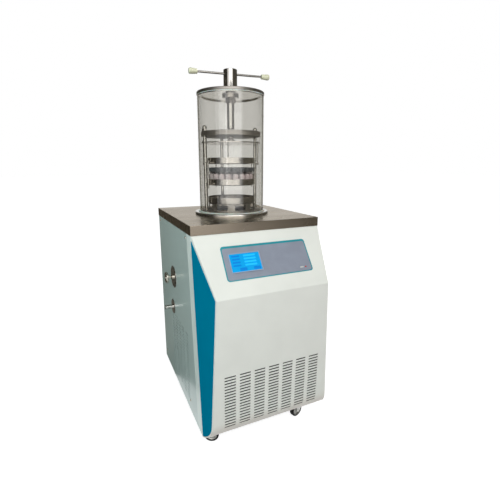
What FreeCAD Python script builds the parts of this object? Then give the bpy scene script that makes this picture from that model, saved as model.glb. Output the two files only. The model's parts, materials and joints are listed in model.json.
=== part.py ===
import FreeCAD, Part
import math
import os
import re
import Sketcher

# A freeze dryer on castors: a folded sheet cabinet with a cold trap under its worktop, and a clear chamber
# above it whose lid carries the handle of a top-press shelf rack.
# Millimetres. X runs across the front, Y runs from front to back, Z is up. Pieces are drawn from the axis of
# the chamber, and stand in a frame whose origin is on the floor under the middle of the whole footprint.

Vector = FreeCAD.Vector
ACROSS = Vector(1, 0, 0)
BACKWARD = Vector(0, 1, 0)
UPRIGHT = Vector(0, 0, 1)

# ---------------------------------------------------------------------------------------------------------
# Driving dimensions
# ---------------------------------------------------------------------------------------------------------

SIZES = {
    # frame
    "axis_side": (16, "chamber axis to the right of the frame's origin"),
    "axis_back": (46.5, "chamber axis behind the frame's origin"),
    # cabinet
    "castor_height": (66, "floor to the underside of the cabinet"),
    "cabinet_width": (450, "across the worktop"),
    "worktop_depth": (495, "front edge to back edge"),
    "worktop_front": (-235, "front edge, from the chamber axis"),
    "worktop_height": (731, "floor to the worktop"),
    "worktop_edge": (29.5, "height of the folded edge"),
    "worktop_corner": (3, "upright corners of the worktop"),
    "worktop_fold": (1, "bend round the top of the worktop"),
    "sheet": (1.5, "thickness of the folded sheets"),
    "panel_inset": (1, "side panels behind the worktop edge"),
    "back_face": (255, "outer face of the rear panel"),
    "front_top": (-233, "front edge of a side panel under the worktop"),
    "front_foot": (-295, "front edge of a side panel at its foot"),
    "knee_front": (-353, "foremost line of the fairing"),
    "knee_height": (535.5, "floor to that line"),
    "toe_front": (-340.5, "front face carried down to its rolled edge"),
    "toe_height": (82.6, "where the front face would meet the underside"),
    "toe_radius": (68, "rolled lower edge of the fairing"),
    "knee_radius": (6, "bend at the knee"),
    "cheek_slope": (0.322, "inward run of a cheek for each unit forward"),
    "cheek_thick": (1.3, "coloured cheek plate"),
    "cheek_margin": (4.5, "white edge left in front of a cheek"),
    # grilles
    "slot_long": (37, "one ventilation slot"),
    "slot_tall": (4.4, "one ventilation slot"),
    "slot_pitch": (10.1, "row to row"),
    "side_slot_pitch": (12.6, "row to row on a side panel"),
    "column_pitch": (49.5, "column to column"),
    "grille_foot": (115, "centre of the lowest front row"),
    "side_grille_foot": (108, "centre of the lowest side row"),
    "side_grille_back": (62, "rearmost side column, from the chamber axis"),
    "louvre_long": (150, "one louvre of the rear panel"),
    "louvre_tall": (6, "one louvre of the rear panel"),
    "louvre_column_pitch": (180, "column to column of the rear panel"),
    "louvre_pitch": (18, "louvre to louvre of the rear panel"),
    "louvre_side": (-165, "left end of the left louvres"),
    "louvre_foot": (400, "lowest louvre above the floor"),
    # inside the cabinet
    "pan_wall": (32, "edge of the base pan"),
    "pan_front": (11, "base pan behind the foot of the side panels"),
    "condenser_wide": (400, "finned core"),
    "condenser_deep": (40, "finned core"),
    "condenser_tall": (260, "finned core"),
    "condenser_front": (18, "core behind the foot of the side panels"),
    "condenser_foot": (20, "core above the pan"),
    "end_plate": (2, "condenser end plate"),
    "end_plate_lip": (4, "end plate beyond the core"),
    "compressor_side": (60, "compressor from the chamber axis"),
    "compressor_back": (150, "compressor from the chamber axis"),
    "compressor_radius": (78, "drawn shell"),
    "compressor_weld": (104, "weld flange above the pan"),
    "compressor_tall": (182, "top of the upper shell"),
    "compressor_round": (30, "shoulder of the upper shell"),
    # control panel, measured on the slope
    "overlay_wide": (294, "printed overlay"),
    "overlay_tall": (111, "printed overlay"),
    "overlay_side": (-144, "left edge of the overlay"),
    "overlay_drop": (44, "below the worktop, along the slope"),
    "overlay_thick": (0.8, "printed overlay"),
    "overlay_corner": (9, "printed overlay"),
    "screen_wide": (98, "touch screen"),
    "screen_tall": (57, "touch screen"),
    "screen_side": (-123, "left edge of the screen"),
    "screen_drop": (72.5, "below the worktop, along the slope"),
    "screen_gap": (0.2, "screen inside its rim"),
    "screen_sunk": (1, "screen below its rim"),
    "bezel_rim": (2.5, "raised rim round the screen"),
    "bezel_thick": (3.2, "height of that rim"),
    "bezel_corner": (1.5, "corner of that rim"),
    "lamp_drop": (140, "lamps below the worktop, along the slope"),
    "status_side": (105, "left end of the status lamp"),
    "status_long": (13, "status lamp"),
    "status_tall": (4, "status lamp"),
    "power_lamp_side": (126, "power lamp"),
    "power_lamp_radius": (2.4, "power lamp"),
    "lamp_stand": (1, "lamps proud of the overlay"),
    # chamber
    "trap_radius": (94.5, "bore of the cold trap"),
    "trap_depth": (205, "depth of the cold trap"),
    "trap_gap": (1, "worktop round the trap"),
    "wall": (1.5, "stainless sheet of the trap and trays"),
    "flange_radius": (135, "chamber flange"),
    "flange_thick": (9, "chamber flange"),
    "flange_round": (4, "upper edge of the flange"),
    "seal_inner": (108, "flat ring seal under the chamber"),
    "seal_outer": (122, "flat ring seal under the chamber"),
    "seal_sunk": (2, "seal below the top of the flange"),
    "seal_stand": (3, "seal proud of the flange"),
    "seal_bevel": (1.2, "outer edge of the seal"),
    "seal_slack": (0.2, "groove wider than the seal on each side"),
    "jar_radius": (117.5, "outside of the clear chamber"),
    "jar_wall": (5, "clear chamber"),
    "jar_tall": (397, "clear chamber"),
    "gasket_thick": (1.5, "gasket between the chamber and its lid"),
    "lid_thick": (10, "stainless lid"),
    "lid_lip": (1, "lid beyond the chamber"),
    "lid_step": (4, "ring under the lid that centres it in the chamber"),
    "lid_step_wide": (8, "that ring"),
    "lid_step_gap": (0.5, "that ring inside the chamber"),
    "edge_bevel": (1, "broken edge of a turned piece"),
    # gland in the lid
    "sleeve_radius": (16, "gland where it passes the lid"),
    "gland_radius": (29, "flange of the gland under the lid"),
    "gland_thick": (8, "flange of the gland under the lid"),
    "gland_nut_flats": (34, "hexagon nut of the gland"),
    "gland_nut_tall": (17, "hexagon nut of the gland"),
    # top-press rack
    "column_circle": (97, "rack columns from the axis"),
    "column_radius": (6, "rack column"),
    "plate_radius": (106, "top plate and press plate"),
    "top_plate_rise": (272.5, "underside of the top plate above the worktop"),
    "top_plate_tall": (16.5, "thickness of the top plate"),
    "top_plate_round": (1.5, "rounding of the top plate's edges"),
    "stud_radius": (4, "stud at the top of a column"),
    "stud_stand": (13, "stud above the top plate"),
    "acorn_flats": (15, "acorn nut, across its flats"),
    "acorn_skirt": (8, "hexagonal part of an acorn nut"),
    "acorn_tall": (20, "acorn nut"),
    "acorn_round": (7.2, "dome of an acorn nut"),
    "bush_radius": (12.5, "bush that guides the press screw"),
    "bush_drop": (5, "bush below the rim of the top plate"),
    "bush_head": (19, "head of the bush on the top plate"),
    "bush_head_thick": (3.5, "head of the bush on the top plate"),
    "foot_thick": (5, "flat ring under the rack"),
    "foot_bore": (70, "flat ring under the rack"),
    "foot_inset": (2, "flat ring inside the seal"),
    "collar_radius": (84.5, "collar under the lowest tray"),
    "collar_wall": (2, "collar under the lowest tray"),
    "window_wide": (40, "vapour window in the collar"),
    "window_margin": (2.5, "collar left above and below a window"),
    "press_plate_rise": (249, "underside above the worktop"),
    "press_plate_thick": (3, "press plate"),
    "guide_gap": (0.8, "press plate round a column"),
    "yoke_tall": (12, "yoke between the press plate and the screw"),
    "yoke_radius": (11, "collar of the yoke"),
    "yoke_collar": (4, "thickness of that collar"),
    "yoke_spread": (20, "axis to the toe of a foot of the yoke"),
    "yoke_wide": (12, "foot of the yoke, front to back"),
    "tray_radius": (86.5, "sample tray"),
    "tray_tall": (22, "rim of a sample tray"),
    "tray_fold": (2.5, "slanting fold round the floor of a tray"),
    "ear_wide": (11, "ear that takes a rod"),
    "ear_thick": (2.5, "ear that takes a rod"),
    "ear_rise": (3, "ear above the floor of its tray"),
    "low_tray_rise": (39, "lowest tray above the worktop"),
    "mid_tray_rise": (103.5, "middle tray above the worktop"),
    "high_tray_rise": (177.5, "upper tray above the worktop"),
    "hanger_circle": (99, "hanger and link rods from the axis"),
    "hanger_radius": (2.4, "hanger rod"),
    "link_radius": (2, "link rod"),
    "rod_nut_tall": (4, "nut on a hanger or link rod"),
    "hanger_nut_flats": (8, "nut on a hanger rod"),
    "link_nut_flats": (7, "nut on a link rod"),
    "rod_stand": (7, "rod above the plate or tray that it hangs from"),
    "rod_end": (7, "rod below the tray that it carries"),
    "link_end": (14, "link rod below the middle tray's ears"),
    "screw_radius": (8, "press screw"),
    "screw_top": (372, "top of the press screw above the worktop"),
    "drive_tall": (16, "hexagon that drives the press screw"),
    "drive_flats": (17.9, "hexagon that drives the press screw"),
    "drive_slack": (0.2, "socket wider than the hexagon"),
    "socket_spare": (6, "socket deeper than the hexagon reaches"),
    # handle
    "spindle_radius": (13, "spindle through the lid"),
    "spindle_foot": (300, "lower end of the spindle above the worktop"),
    "spindle_stand": (20, "spindle above the lid, inside the head"),
    "head_radius": (24, "head that carries the bar"),
    "head_tall": (76, "head that carries the bar"),
    "head_gap": (0.4, "head above the lid"),
    "bar_radius": (3.7, "tommy bar"),
    "bar_reach": (144.5, "axis to the end of a bar knob"),
    "bar_rise": (62, "bar above the lid"),
    "knob_long": (28.5, "bar knob"),
    "knob_radius": (10, "bar knob"),
    "knob_floor": (6, "knob beyond the end of the bar"),
    "knob_end": (5, "widest part of a knob from its end"),
    "knob_round": (2, "rounded end of a knob"),
    # side fittings
    "vent_back": (22, "vent valve from the chamber axis"),
    "vent_height": (502.5, "vent valve above the floor"),
    "vent_plate_radius": (41, "escutcheon of the vent valve"),
    "vent_plate": (3, "escutcheon of the vent valve"),
    "vent_shank": (8.8, "body of the vent valve"),
    "vent_depth": (22, "body of the vent valve behind the panel"),
    "vent_collar": (11, "body of the vent valve in front of the panel"),
    "shank_gap": (0.2, "panel and escutcheon round a fitting"),
    "vent_stem_radius": (4, "stem of the vent valve"),
    "vent_stem_end": (24, "stem of the vent valve from the panel"),
    "stem_gap": (0.5, "stem above the floor of its hole"),
    "vent_seat": (7.5, "stem inside its knob, and the knob beyond it"),
    "vent_knob_radius": (20.5, "knob of the vent valve"),
    "vent_knob_thick": (9, "knob of the vent valve"),
    "vent_knob_round": (2, "edge of that knob"),
    "port_back": (50, "vacuum port from the chamber axis"),
    "port_height": (376, "vacuum port above the floor"),
    "port_radius": (8, "vacuum port nozzle"),
    "port_bore": (5, "vacuum port nozzle"),
    "port_shank": (6.5, "vacuum port where it passes the panel"),
    "port_stand": (33, "end of the nozzle from the panel"),
    "port_plate_radius": (28, "escutcheon of the vacuum port"),
    "port_plate": (3, "escutcheon of the vacuum port"),
    "port_depth": (24, "nozzle behind the panel"),
    # rear connections
    "inlet_side": (-160, "appliance inlet from the chamber axis"),
    "inlet_wide": (26.6, "shell of the inlet"),
    "inlet_tall": (20.6, "shell of the inlet"),
    "inlet_deep": (24, "shell of the inlet"),
    "inlet_flange": (2.5, "flange of the inlet"),
    "inlet_flange_wide": (50, "flange of the inlet"),
    "inlet_flange_tall": (24, "flange of the inlet"),
    "inlet_mouth_wide": (23, "mouth of the inlet"),
    "inlet_mouth_tall": (16, "mouth of the inlet"),
    "inlet_mouth_deep": (18, "mouth of the inlet"),
    "pin_spread": (7, "outer pins of the inlet from the middle one"),
    "pin_long": (13.5, "pin of the inlet"),
    "switch_side": (-122, "rocker switch from the chamber axis"),
    "switch_wide": (14, "shell of the switch"),
    "switch_tall": (20.8, "shell of the switch"),
    "switch_deep": (14, "shell of the switch"),
    "switch_flange": (2, "flange of the switch"),
    "switch_lip": (2.3, "flange beyond the shell"),
    "connection_height": (150, "inlet and switch above the floor"),
    "cutout_gap": (0.2, "cutout round the shell of an inlet or switch"),
    "rocker_wide": (10, "rocker of the switch"),
    "rocker_tall": (16.8, "rocker of the switch"),
    "rocker_gap": (0.5, "frame round the rocker"),
    "rocker_room": (10, "depth of the frame's mouth"),
    "trunnion_radius": (1.5, "pivot of the rocker"),
    "trunnion_reach": (6.4, "pivot from the middle of the rocker"),
    # castors
    "wheel_radius": (25, "castor wheel"),
    "wheel_wide": (17, "castor wheel"),
    "hub_radius": (9, "hub of the wheel"),
    "wheel_dish": (2, "dish between hub and tyre"),
    "castor_trail": (20, "axle behind the swivel pin"),
    "castor_side": (161, "swivel pins from the middle"),
    "castor_front": (-254, "front swivel pins"),
    "castor_back": (205, "rear swivel pins"),
    "castor_plate": (48, "mounting plate"),
    "castor_sheet": (2.5, "mounting plate"),
    "castor_gap": (6.3, "crown of the fork below the cabinet"),
    "race_radius": (14, "ball race over the fork"),
    "race_gap": (0.3, "ball race above the fork"),
    "fork_sheet": (2, "pressed fork"),
    "fork_gap": (1, "fork beside the wheel"),
    "fork_round": (5, "fork round the axle"),
    "rivet_stand": (1.5, "riveted axle beyond the fork"),
    "axle_radius": (3, "castor axle"),
    "pin_radius": (4, "castor swivel pin"),
}

RUNNING = 0.05  # radial clearance of a shaft in its hole
BAR_ANGLE = -5  # tommy bar at rest, from the X axis
TOUCH = 0.01  # distance at which two edges or faces count as one
NEARBY = 0.5  # distance at which a fold or an open side is recognised
OVERRUN = 10  # how far a cut goes past what it cuts
BEYOND = 400  # how far an outline goes that frames a whole side
COLLAR_WINDOWS = 8
FRONT_COLUMNS = 7
FRONT_ROWS = 18
SIDE_COLUMNS = 5
SIDE_ROWS = 20
LOUVRE_COLUMNS = 2
LOUVRE_ROWS = 12
COLUMN_ANGLES = (0, 90, 180)
HANGER_ANGLES = (-15, 75, 165)
LINK_ANGLES = (15, 105, 195)

# Where each castor's swivel pin stands, and which way the castor trails at rest, in degrees from the X axis
CASTORS = {
    "front_left": ("-castor_side", "castor_front", 154),
    "front_right": ("castor_side", "castor_front", 196),
    "rear_left": ("-castor_side", "castor_back", 172),
    "rear_right": ("castor_side", "castor_back", 203),
}

doc = FreeCAD.newDocument("freeze_dryer")
sheet = doc.addObject("Spreadsheet::Sheet", "dims")
for row, (alias, (size, note)) in enumerate(SIZES.items(), start=1):
    sheet.set(f"A{row}", note)
    sheet.set(f"B{row}", str(size))
    sheet.setAlias(f"B{row}", alias)
doc.recompute()

nodes = []  # the finished sub-parts, in the order they are made


# ---------------------------------------------------------------------------------------------------------
# Helpers: every size is an expression on the sheet's aliases
# ---------------------------------------------------------------------------------------------------------


def bound(expression):
    """The expression with each alias pointed at the sheet."""

    def on_sheet(word):
        return "dims." + word[0] if word[0] in SIZES else word[0]

    return re.sub(r"[a-z_]+", on_sheet, str(expression))


def size_of(expression):
    """The expression's value in millimetres or degrees."""
    return float(sheet.evalExpression(str(expression)))


def bind(thing, prop, expression):
    thing.setExpression(prop, bound(expression))


def finish(thing, label):
    thing.Label = label
    nodes.append(thing)
    return thing


def start_body(label):
    return finish(doc.addObject("PartDesign::Body", label), label)


def place(thing, x=0, y=0, z=0, axis=None, angle=0, swing=0):
    """Put a piece at a bound place, turned by an angle about an axis and then swung about the upright."""
    if axis is not None or swing:
        lean = FreeCAD.Rotation(axis or UPRIGHT, size_of(angle))
        thing.Placement = FreeCAD.Placement(Vector(0, 0, 0), FreeCAD.Rotation(UPRIGHT, swing) * lean)
        if not isinstance(angle, (int, float)):
            bind(thing, "Placement.Rotation.Angle", angle)
    for letter, expression in zip("xyz", (x, y, z)):
        bind(thing, "Placement.Base." + letter, expression)
    return thing


def stand_in_frame(thing):
    """Move a finished piece from the chamber's axis to the frame's origin."""
    drawn = dict(thing.ExpressionEngine)
    for letter, offset in (("x", "axis_side"), ("y", "axis_back")):
        at = drawn.get(".Placement.Base." + letter, "0")
        thing.setExpression("Placement.Base." + letter, f"{at} + dims.{offset}")


def sketch_on(body, role, offset=None):
    """An empty sketch on one of the body's own planes, moved along the plane's normal."""
    plane = next(item for item in body.Origin.OriginFeatures if item.Role == role)
    sketch = body.newObject("Sketcher::SketchObject", body.Name + "_sketch")
    sketch.AttachmentSupport = [(plane, "")]
    sketch.MapMode = "FlatFace"
    if offset is not None:
        bind(sketch, "AttachmentOffset.Base.z", offset)
    return sketch


def add_outline(sketch, corners, rounded=None):
    """A closed loop of straight sides; each corner is held at its two bound distances from the origin.

    rounded gives the radius of a tangent arc for a corner's index."""
    rounded = rounded or {}
    spots = [Vector(size_of(x), size_of(y), 0) for x, y in corners]
    count = len(corners)
    starts, ends = list(spots), spots[1:] + spots[:1]
    arcs = {}
    for i, radius in rounded.items():
        arcs[i] = tangent_arc(spots[i - 1], spots[i], spots[(i + 1) % count], size_of(radius))
        ends[i - 1], starts[i] = arcs[i].StartPoint, arcs[i].EndPoint
    first = sketch.GeometryCount
    for start, end in zip(starts, ends):
        sketch.addGeometry(Part.LineSegment(start, end), False)
    for i, corner in enumerate(corners):
        before, after = first + (i - 1) % count, first + i
        if i not in arcs:
            sketch.addConstraint(Sketcher.Constraint("Coincident", before, 2, after, 1))
            hold_spot(sketch, after, 1, corner, spots[i])
            continue
        arc = sketch.addGeometry(arcs[i], False)
        near, far = (1, 2) if arcs[i].StartPoint.isEqual(ends[i - 1], 1e-6) else (2, 1)
        sketch.addConstraint(Sketcher.Constraint("Tangent", before, 2, arc, near))
        sketch.addConstraint(Sketcher.Constraint("Tangent", after, 1, arc, far))
        hold_size(sketch, "Radius", (arc,), rounded[i])
        corner_point = sketch.addGeometry(Part.Point(spots[i]), True)
        sketch.addConstraint(Sketcher.Constraint("PointOnObject", corner_point, 1, before))
        sketch.addConstraint(Sketcher.Constraint("PointOnObject", corner_point, 1, after))
        hold_spot(sketch, corner_point, 1, corner, spots[i])
    return sketch


def tangent_arc(before, corner, after, radius):
    """The arc of a radius that touches both sides of a corner."""
    to_before, to_after = (before - corner).normalize(), (after - corner).normalize()
    half = to_before.getAngle(to_after) / 2
    middle = corner + (to_before + to_after).normalize() * (radius / math.sin(half))
    reach = radius / math.tan(half)
    nearest = corner + (corner - middle).normalize() * (radius - corner.distanceToPoint(middle))
    return Part.Arc(corner + to_before * reach, nearest, corner + to_after * reach)


def add_slot(sketch, left, low, long, tall):
    """A slot with round ends, given by its low left corner."""
    radius = f"({tall}) / 2"
    middle = f"({low}) + {radius}"
    centres = [(f"({left}) + {radius}", middle), (f"({left}) + ({long}) - {radius}", middle)]
    west, east = [Vector(size_of(x), size_of(y), 0) for x, y in centres]
    up = Vector(0, size_of(radius), 0)
    out = Vector(size_of(radius), 0, 0)
    first = sketch.GeometryCount
    sketch.addGeometry(Part.LineSegment(west - up, east - up), False)
    sketch.addGeometry(Part.Arc(east - up, east + out, east + up), False)
    sketch.addGeometry(Part.LineSegment(east + up, west + up), False)
    sketch.addGeometry(Part.Arc(west + up, west - out, west - up), False)
    for i in range(4):
        sketch.addConstraint(Sketcher.Constraint("Tangent", first + i, 2, first + (i + 1) % 4, 1))
    hold_spot(sketch, first + 3, 3, centres[0], west)
    hold_spot(sketch, first + 1, 3, centres[1], east)
    hold_size(sketch, "Radius", (first + 1,), radius)
    return sketch


def hold_spot(sketch, line, end, spot, at):
    hold_size(sketch, "DistanceX", (-1, 1, line, end), spot[0])
    hold_size(sketch, "DistanceY", (-1, 1, line, end), spot[1])


def hold_size(sketch, kind, on, expression):
    """One dimension of a sketch, bound when it isn't a plain number."""
    index = sketch.addConstraint(Sketcher.Constraint(kind, *on, size_of(expression)))
    if not isinstance(expression, (int, float)):
        sketch.setExpression(f"Constraints[{index}]", bound(expression))


def add_circles(sketch, circles):
    """Circles given as (x, y, radius)."""
    for x, y, radius in circles:
        line = sketch.GeometryCount
        middle = Vector(size_of(x), size_of(y), 0)
        sketch.addGeometry(Part.Circle(middle, Vector(0, 0, 1), size_of(radius)), False)
        hold_spot(sketch, line, 3, (x, y), middle)
        hold_size(sketch, "Radius", (line,), radius)
    return sketch


def box_corners(left, right, low, high):
    return [(left, low), (right, low), (right, high), (left, high)]


def add_feature(body, kind, sketch, length=None, **options):
    feature = body.newObject("PartDesign::" + kind, f"{body.Name}_{kind.lower()}")
    feature.Profile = sketch
    if length is not None:
        bind(feature, "Length", length)
    for option, setting in options.items():
        setattr(feature, option, setting)
    doc.recompute()
    return feature


def pad(body, sketch, length, **options):
    return add_feature(body, "Pad", sketch, length, **options)


def pocket(body, sketch, length, **options):
    return add_feature(body, "Pocket", sketch, length, **options)


def pocket_through(body, sketch):
    return add_feature(body, "Pocket", sketch, Type="ThroughAll", Midplane=True)


def turn(body, corners, rounded=None):
    """Revolve a profile of (radius, height) corners about the body's Z axis."""
    sketch = add_outline(sketch_on(body, "XZ_Plane"), corners, rounded)
    return add_feature(body, "Revolution", sketch, ReferenceAxis=(sketch, ["V_Axis"]), Angle=360)


def turned(label, corners, rounded=None):
    body = start_body(label)
    turn(body, corners, rounded)
    return body


def spin_copies(body, feature, count, sweep):
    """Repeat a feature about the body's Z axis."""
    axis = next(item for item in body.Origin.OriginFeatures if item.Role == "Z_Axis")
    pattern = body.newObject("PartDesign::PolarPattern", body.Name + "_polar")
    pattern.Originals = [feature]
    pattern.Axis = (axis, [""])
    pattern.Angle = sweep
    pattern.Occurrences = count
    body.Tip = pattern
    doc.recompute()
    return pattern


def grid_copies(body, feature, sketch, columns, rows, column_pitch, row_pitch):
    """Repeat a feature along the sketch's two axes."""
    pattern = body.newObject("PartDesign::LinearPattern", body.Name + "_grid")
    pattern.Originals = [feature]
    pattern.Direction = (sketch, ["H_Axis"])
    pattern.Direction2 = (sketch, ["V_Axis"])
    pattern.Occurrences = columns
    pattern.Occurrences2 = rows
    bind(pattern, "Length", f"{columns - 1} * {column_pitch}")
    bind(pattern, "Length2", f"{rows - 1} * {row_pitch}")
    body.Tip = pattern
    doc.recompute()
    return pattern


def on_rim(radius):
    """Test for the full circles of a turned body that have a bound radius."""
    return lambda edge: abs(edge.BoundBox.XLength - 2 * size_of(radius)) < TOUCH


def at_height(height):
    """Test for edges that lie flat at a bound height."""
    return lambda edge: abs(edge.BoundBox.ZMin - size_of(height)) + edge.BoundBox.ZLength < TOUCH


def edges_where(body, test):
    return [f"Edge{i}" for i, edge in enumerate(body.Shape.Edges, start=1) if test(edge)]


def faces_where(body, test):
    return [f"Face{i}" for i, face in enumerate(body.Shape.Faces, start=1) if test(face)]


def round_edges(body, radius, test):
    base, edges = body.Tip, edges_where(body, test)
    fillet = body.newObject("PartDesign::Fillet", body.Name + "_fillet")
    fillet.Base = (base, edges)
    bind(fillet, "Radius", radius)
    doc.recompute()
    return fillet


def bevel_edges(body, width, test):
    base, edges = body.Tip, edges_where(body, test)
    chamfer = body.newObject("PartDesign::Chamfer", body.Name + "_chamfer")
    chamfer.Base = (base, edges)
    bind(chamfer, "Size", width)
    doc.recompute()
    return chamfer


def runs_along(edge, axis):
    ends = [vertex.Point for vertex in edge.Vertexes]
    if len(ends) != 2 or edge.Curve.TypeId != "Part::GeomLine":
        return False
    way = ends[1] - ends[0]
    return way.cross(axis).Length < 1e-6 * way.Length


def rod(name, x, y, z, radius, length):
    """A round bar that stands along Z."""
    made = doc.addObject("Part::Cylinder", name)
    bind(made, "Radius", radius)
    bind(made, "Height", length)
    return place(made, x, y, z)


def block(name, x, y, z, wide, deep, tall):
    """A box given by its low corner."""
    made = doc.addObject("Part::Box", name)
    bind(made, "Length", wide)
    bind(made, "Width", deep)
    bind(made, "Height", tall)
    return place(made, x, y, z)


def hexagon(name, x, y, z, flats, tall):
    """A hexagonal prism that stands along Z, sized across its flats."""
    made = doc.addObject("Part::Prism", name)
    made.Polygon = 6
    bind(made, "Circumradius", f"({flats}) / sqrt(3)")
    bind(made, "Height", tall)
    return place(made, x, y, z)


def fused(label, pieces):
    made = doc.addObject("Part::MultiFuse", label)
    made.Shapes = pieces
    doc.recompute()
    return made


def cut(label, base, tool):
    made = doc.addObject("Part::Cut", label)
    made.Base = base
    made.Tool = tool
    doc.recompute()
    return made


def group(label, pieces):
    """Like pieces that stay separate solids in one node."""
    made = doc.addObject("Part::Compound", label)
    made.Links = pieces
    doc.recompute()
    return finish(made, label)


def around(circle, degrees):
    """Bound x and y of a point on a circle about the chamber axis."""
    return f"{circle} * cos({degrees} deg)", f"{circle} * sin({degrees} deg)"


# ---------------------------------------------------------------------------------------------------------
# Cabinet
# ---------------------------------------------------------------------------------------------------------

PANEL_TOP = "(worktop_height - worktop_edge)"
PANEL_SIDE = "(cabinet_width / 2 - panel_inset)"
INSIDE = "(cabinet_width / 2 - panel_inset - sheet)"
BEHIND = "(back_face - sheet)"
EDGE_RUN = "((front_foot - front_top) / (castor_height - worktop_height + worktop_edge))"
FAIRING_SIDE = f"({PANEL_SIDE} - cheek_thick)"
TOE_SLOPE = "((toe_height - castor_height) / (front_foot - toe_front))"
ON_PAN = "(castor_height + sheet)"
TRAP_SIDE = "(trap_radius + wall)"


def make_worktop():
    """A folded sheet, open below, with the mouth of the cold trap."""
    body = start_body("worktop")
    half = "cabinet_width / 2"
    back = "(worktop_front + worktop_depth)"
    outside = box_corners(f"-{half}", half, "worktop_front", back)
    pad(body, add_outline(sketch_on(body, "XY_Plane", PANEL_TOP), outside), "worktop_edge")
    round_edges(body, "worktop_corner", lambda edge: runs_along(edge, UPRIGHT))
    round_edges(body, "worktop_fold", at_height("worktop_height"))
    inside = box_corners(f"sheet - {half}", f"{half} - sheet", "worktop_front + sheet", f"{back} - sheet")
    hollow = add_outline(sketch_on(body, "XY_Plane", PANEL_TOP), inside)
    pocket(body, hollow, "worktop_edge - sheet", Reversed=True)
    mouth = add_circles(sketch_on(body, "XY_Plane", "worktop_height"), [(0, 0, f"{TRAP_SIDE} + trap_gap")])
    pocket(body, mouth, "worktop_edge")


def make_side_panel(label, side, holes):
    """A flat side with its ventilation slots; its front edge leans forward towards the foot."""
    body = start_body(label)
    low = f"-{PANEL_SIDE}" if side < 0 else INSIDE
    corners = [
        ("back_face", "castor_height"),
        ("front_foot", "castor_height"),
        ("front_top", PANEL_TOP),
        ("back_face", PANEL_TOP),
    ]
    pad(body, add_outline(sketch_on(body, "YZ_Plane", low), corners), "sheet")
    if holes:
        pocket_through(body, add_circles(sketch_on(body, "YZ_Plane", low), holes))
    left = f"side_grille_back - {SIDE_COLUMNS - 1} * column_pitch - slot_long / 2"
    low_row = "side_grille_foot - slot_tall / 2"
    slot = add_slot(sketch_on(body, "YZ_Plane", low), left, low_row, "slot_long", "slot_tall")
    first = pocket_through(body, slot)
    grid_copies(body, first, slot, SIDE_COLUMNS, SIDE_ROWS, "column_pitch", "side_slot_pitch")


def cutout(side, wide, tall):
    """The opening in the rear panel for the shell of an inlet or switch."""
    left, right = f"{side} - {wide} / 2 - cutout_gap", f"{side} + {wide} / 2 + cutout_gap"
    low, high = f"connection_height - {tall} / 2 - cutout_gap", f"connection_height + {tall} / 2 + cutout_gap"
    return box_corners(left, right, low, high)


def make_rear_panel():
    body = start_body("rear_panel")
    face = box_corners(f"-{INSIDE}", INSIDE, "castor_height", PANEL_TOP)
    pad(body, add_outline(sketch_on(body, "XZ_Plane", "-back_face"), face), "sheet")
    plane = sketch_on(body, "XZ_Plane", "-back_face")
    slot = add_slot(plane, "louvre_side", "louvre_foot", "louvre_long", "louvre_tall")
    first = pocket_through(body, slot)
    grid_copies(body, first, slot, LOUVRE_COLUMNS, LOUVRE_ROWS, "louvre_column_pitch", "louvre_pitch")
    cutouts = sketch_on(body, "XZ_Plane", "-back_face")
    add_outline(cutouts, cutout("inlet_side", "inlet_wide", "inlet_tall"))
    add_outline(cutouts, cutout("switch_side", "switch_wide", "switch_tall"))
    pocket_through(body, cutouts)


def front_wedges(body, side):
    """Plan outlines of what lies outside the two converging cheek planes, at the top of the fairing."""
    reach = 200
    lead = 30
    wedges = sketch_on(body, "XY_Plane", PANEL_TOP)
    for way in ("", "-"):
        corners = [
            (f"{way}({side} + cheek_slope * {lead})", f"front_top + {lead}"),
            (f"{way}({side} - cheek_slope * {reach})", f"front_top - {reach}"),
            (f"{way}({side} + {reach})", f"front_top - {reach}"),
            (f"{way}({side} + {reach})", f"front_top + {lead}"),
        ]
        add_outline(wedges, corners)
    return wedges


def along_front_edge(body, kind, sketch):
    """Extrude down the leaning front edge of the side panels, past the foot."""
    feature = add_feature(body, kind, sketch, "1.2 * worktop_height", UseCustomVector=True)
    bind(feature, "Direction", f"vector(0; -{EDGE_RUN}; -1)")
    doc.recompute()
    return feature


def is_bend(edge, front, height):
    """Whether an edge is the fold across the fairing at a bound depth and height."""
    middle = edge.CenterOfMass
    near = math.hypot(middle.y - size_of(front), middle.z - size_of(height)) < NEARBY
    return near and runs_along(edge, ACROSS)


def is_open_back(face):
    """Whether a face lies in the plane of the side panels' front edges."""
    middle = face.CenterOfMass
    line = size_of("front_top") + size_of(EDGE_RUN) * (middle.z - size_of(PANEL_TOP))
    return abs(middle.y - line) < NEARBY and face.normalAt(0, 0).y > math.cos(math.radians(10))


def shell_inwards(body, faces):
    """Leave a wall of one sheet's thickness, open at the given faces."""
    base = body.Tip
    shell = body.newObject("PartDesign::Thickness", body.Name + "_shell")
    shell.Base = (base, faces)
    shell.Reversed = True
    bind(shell, "Value", "sheet")
    doc.recompute()


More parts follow.
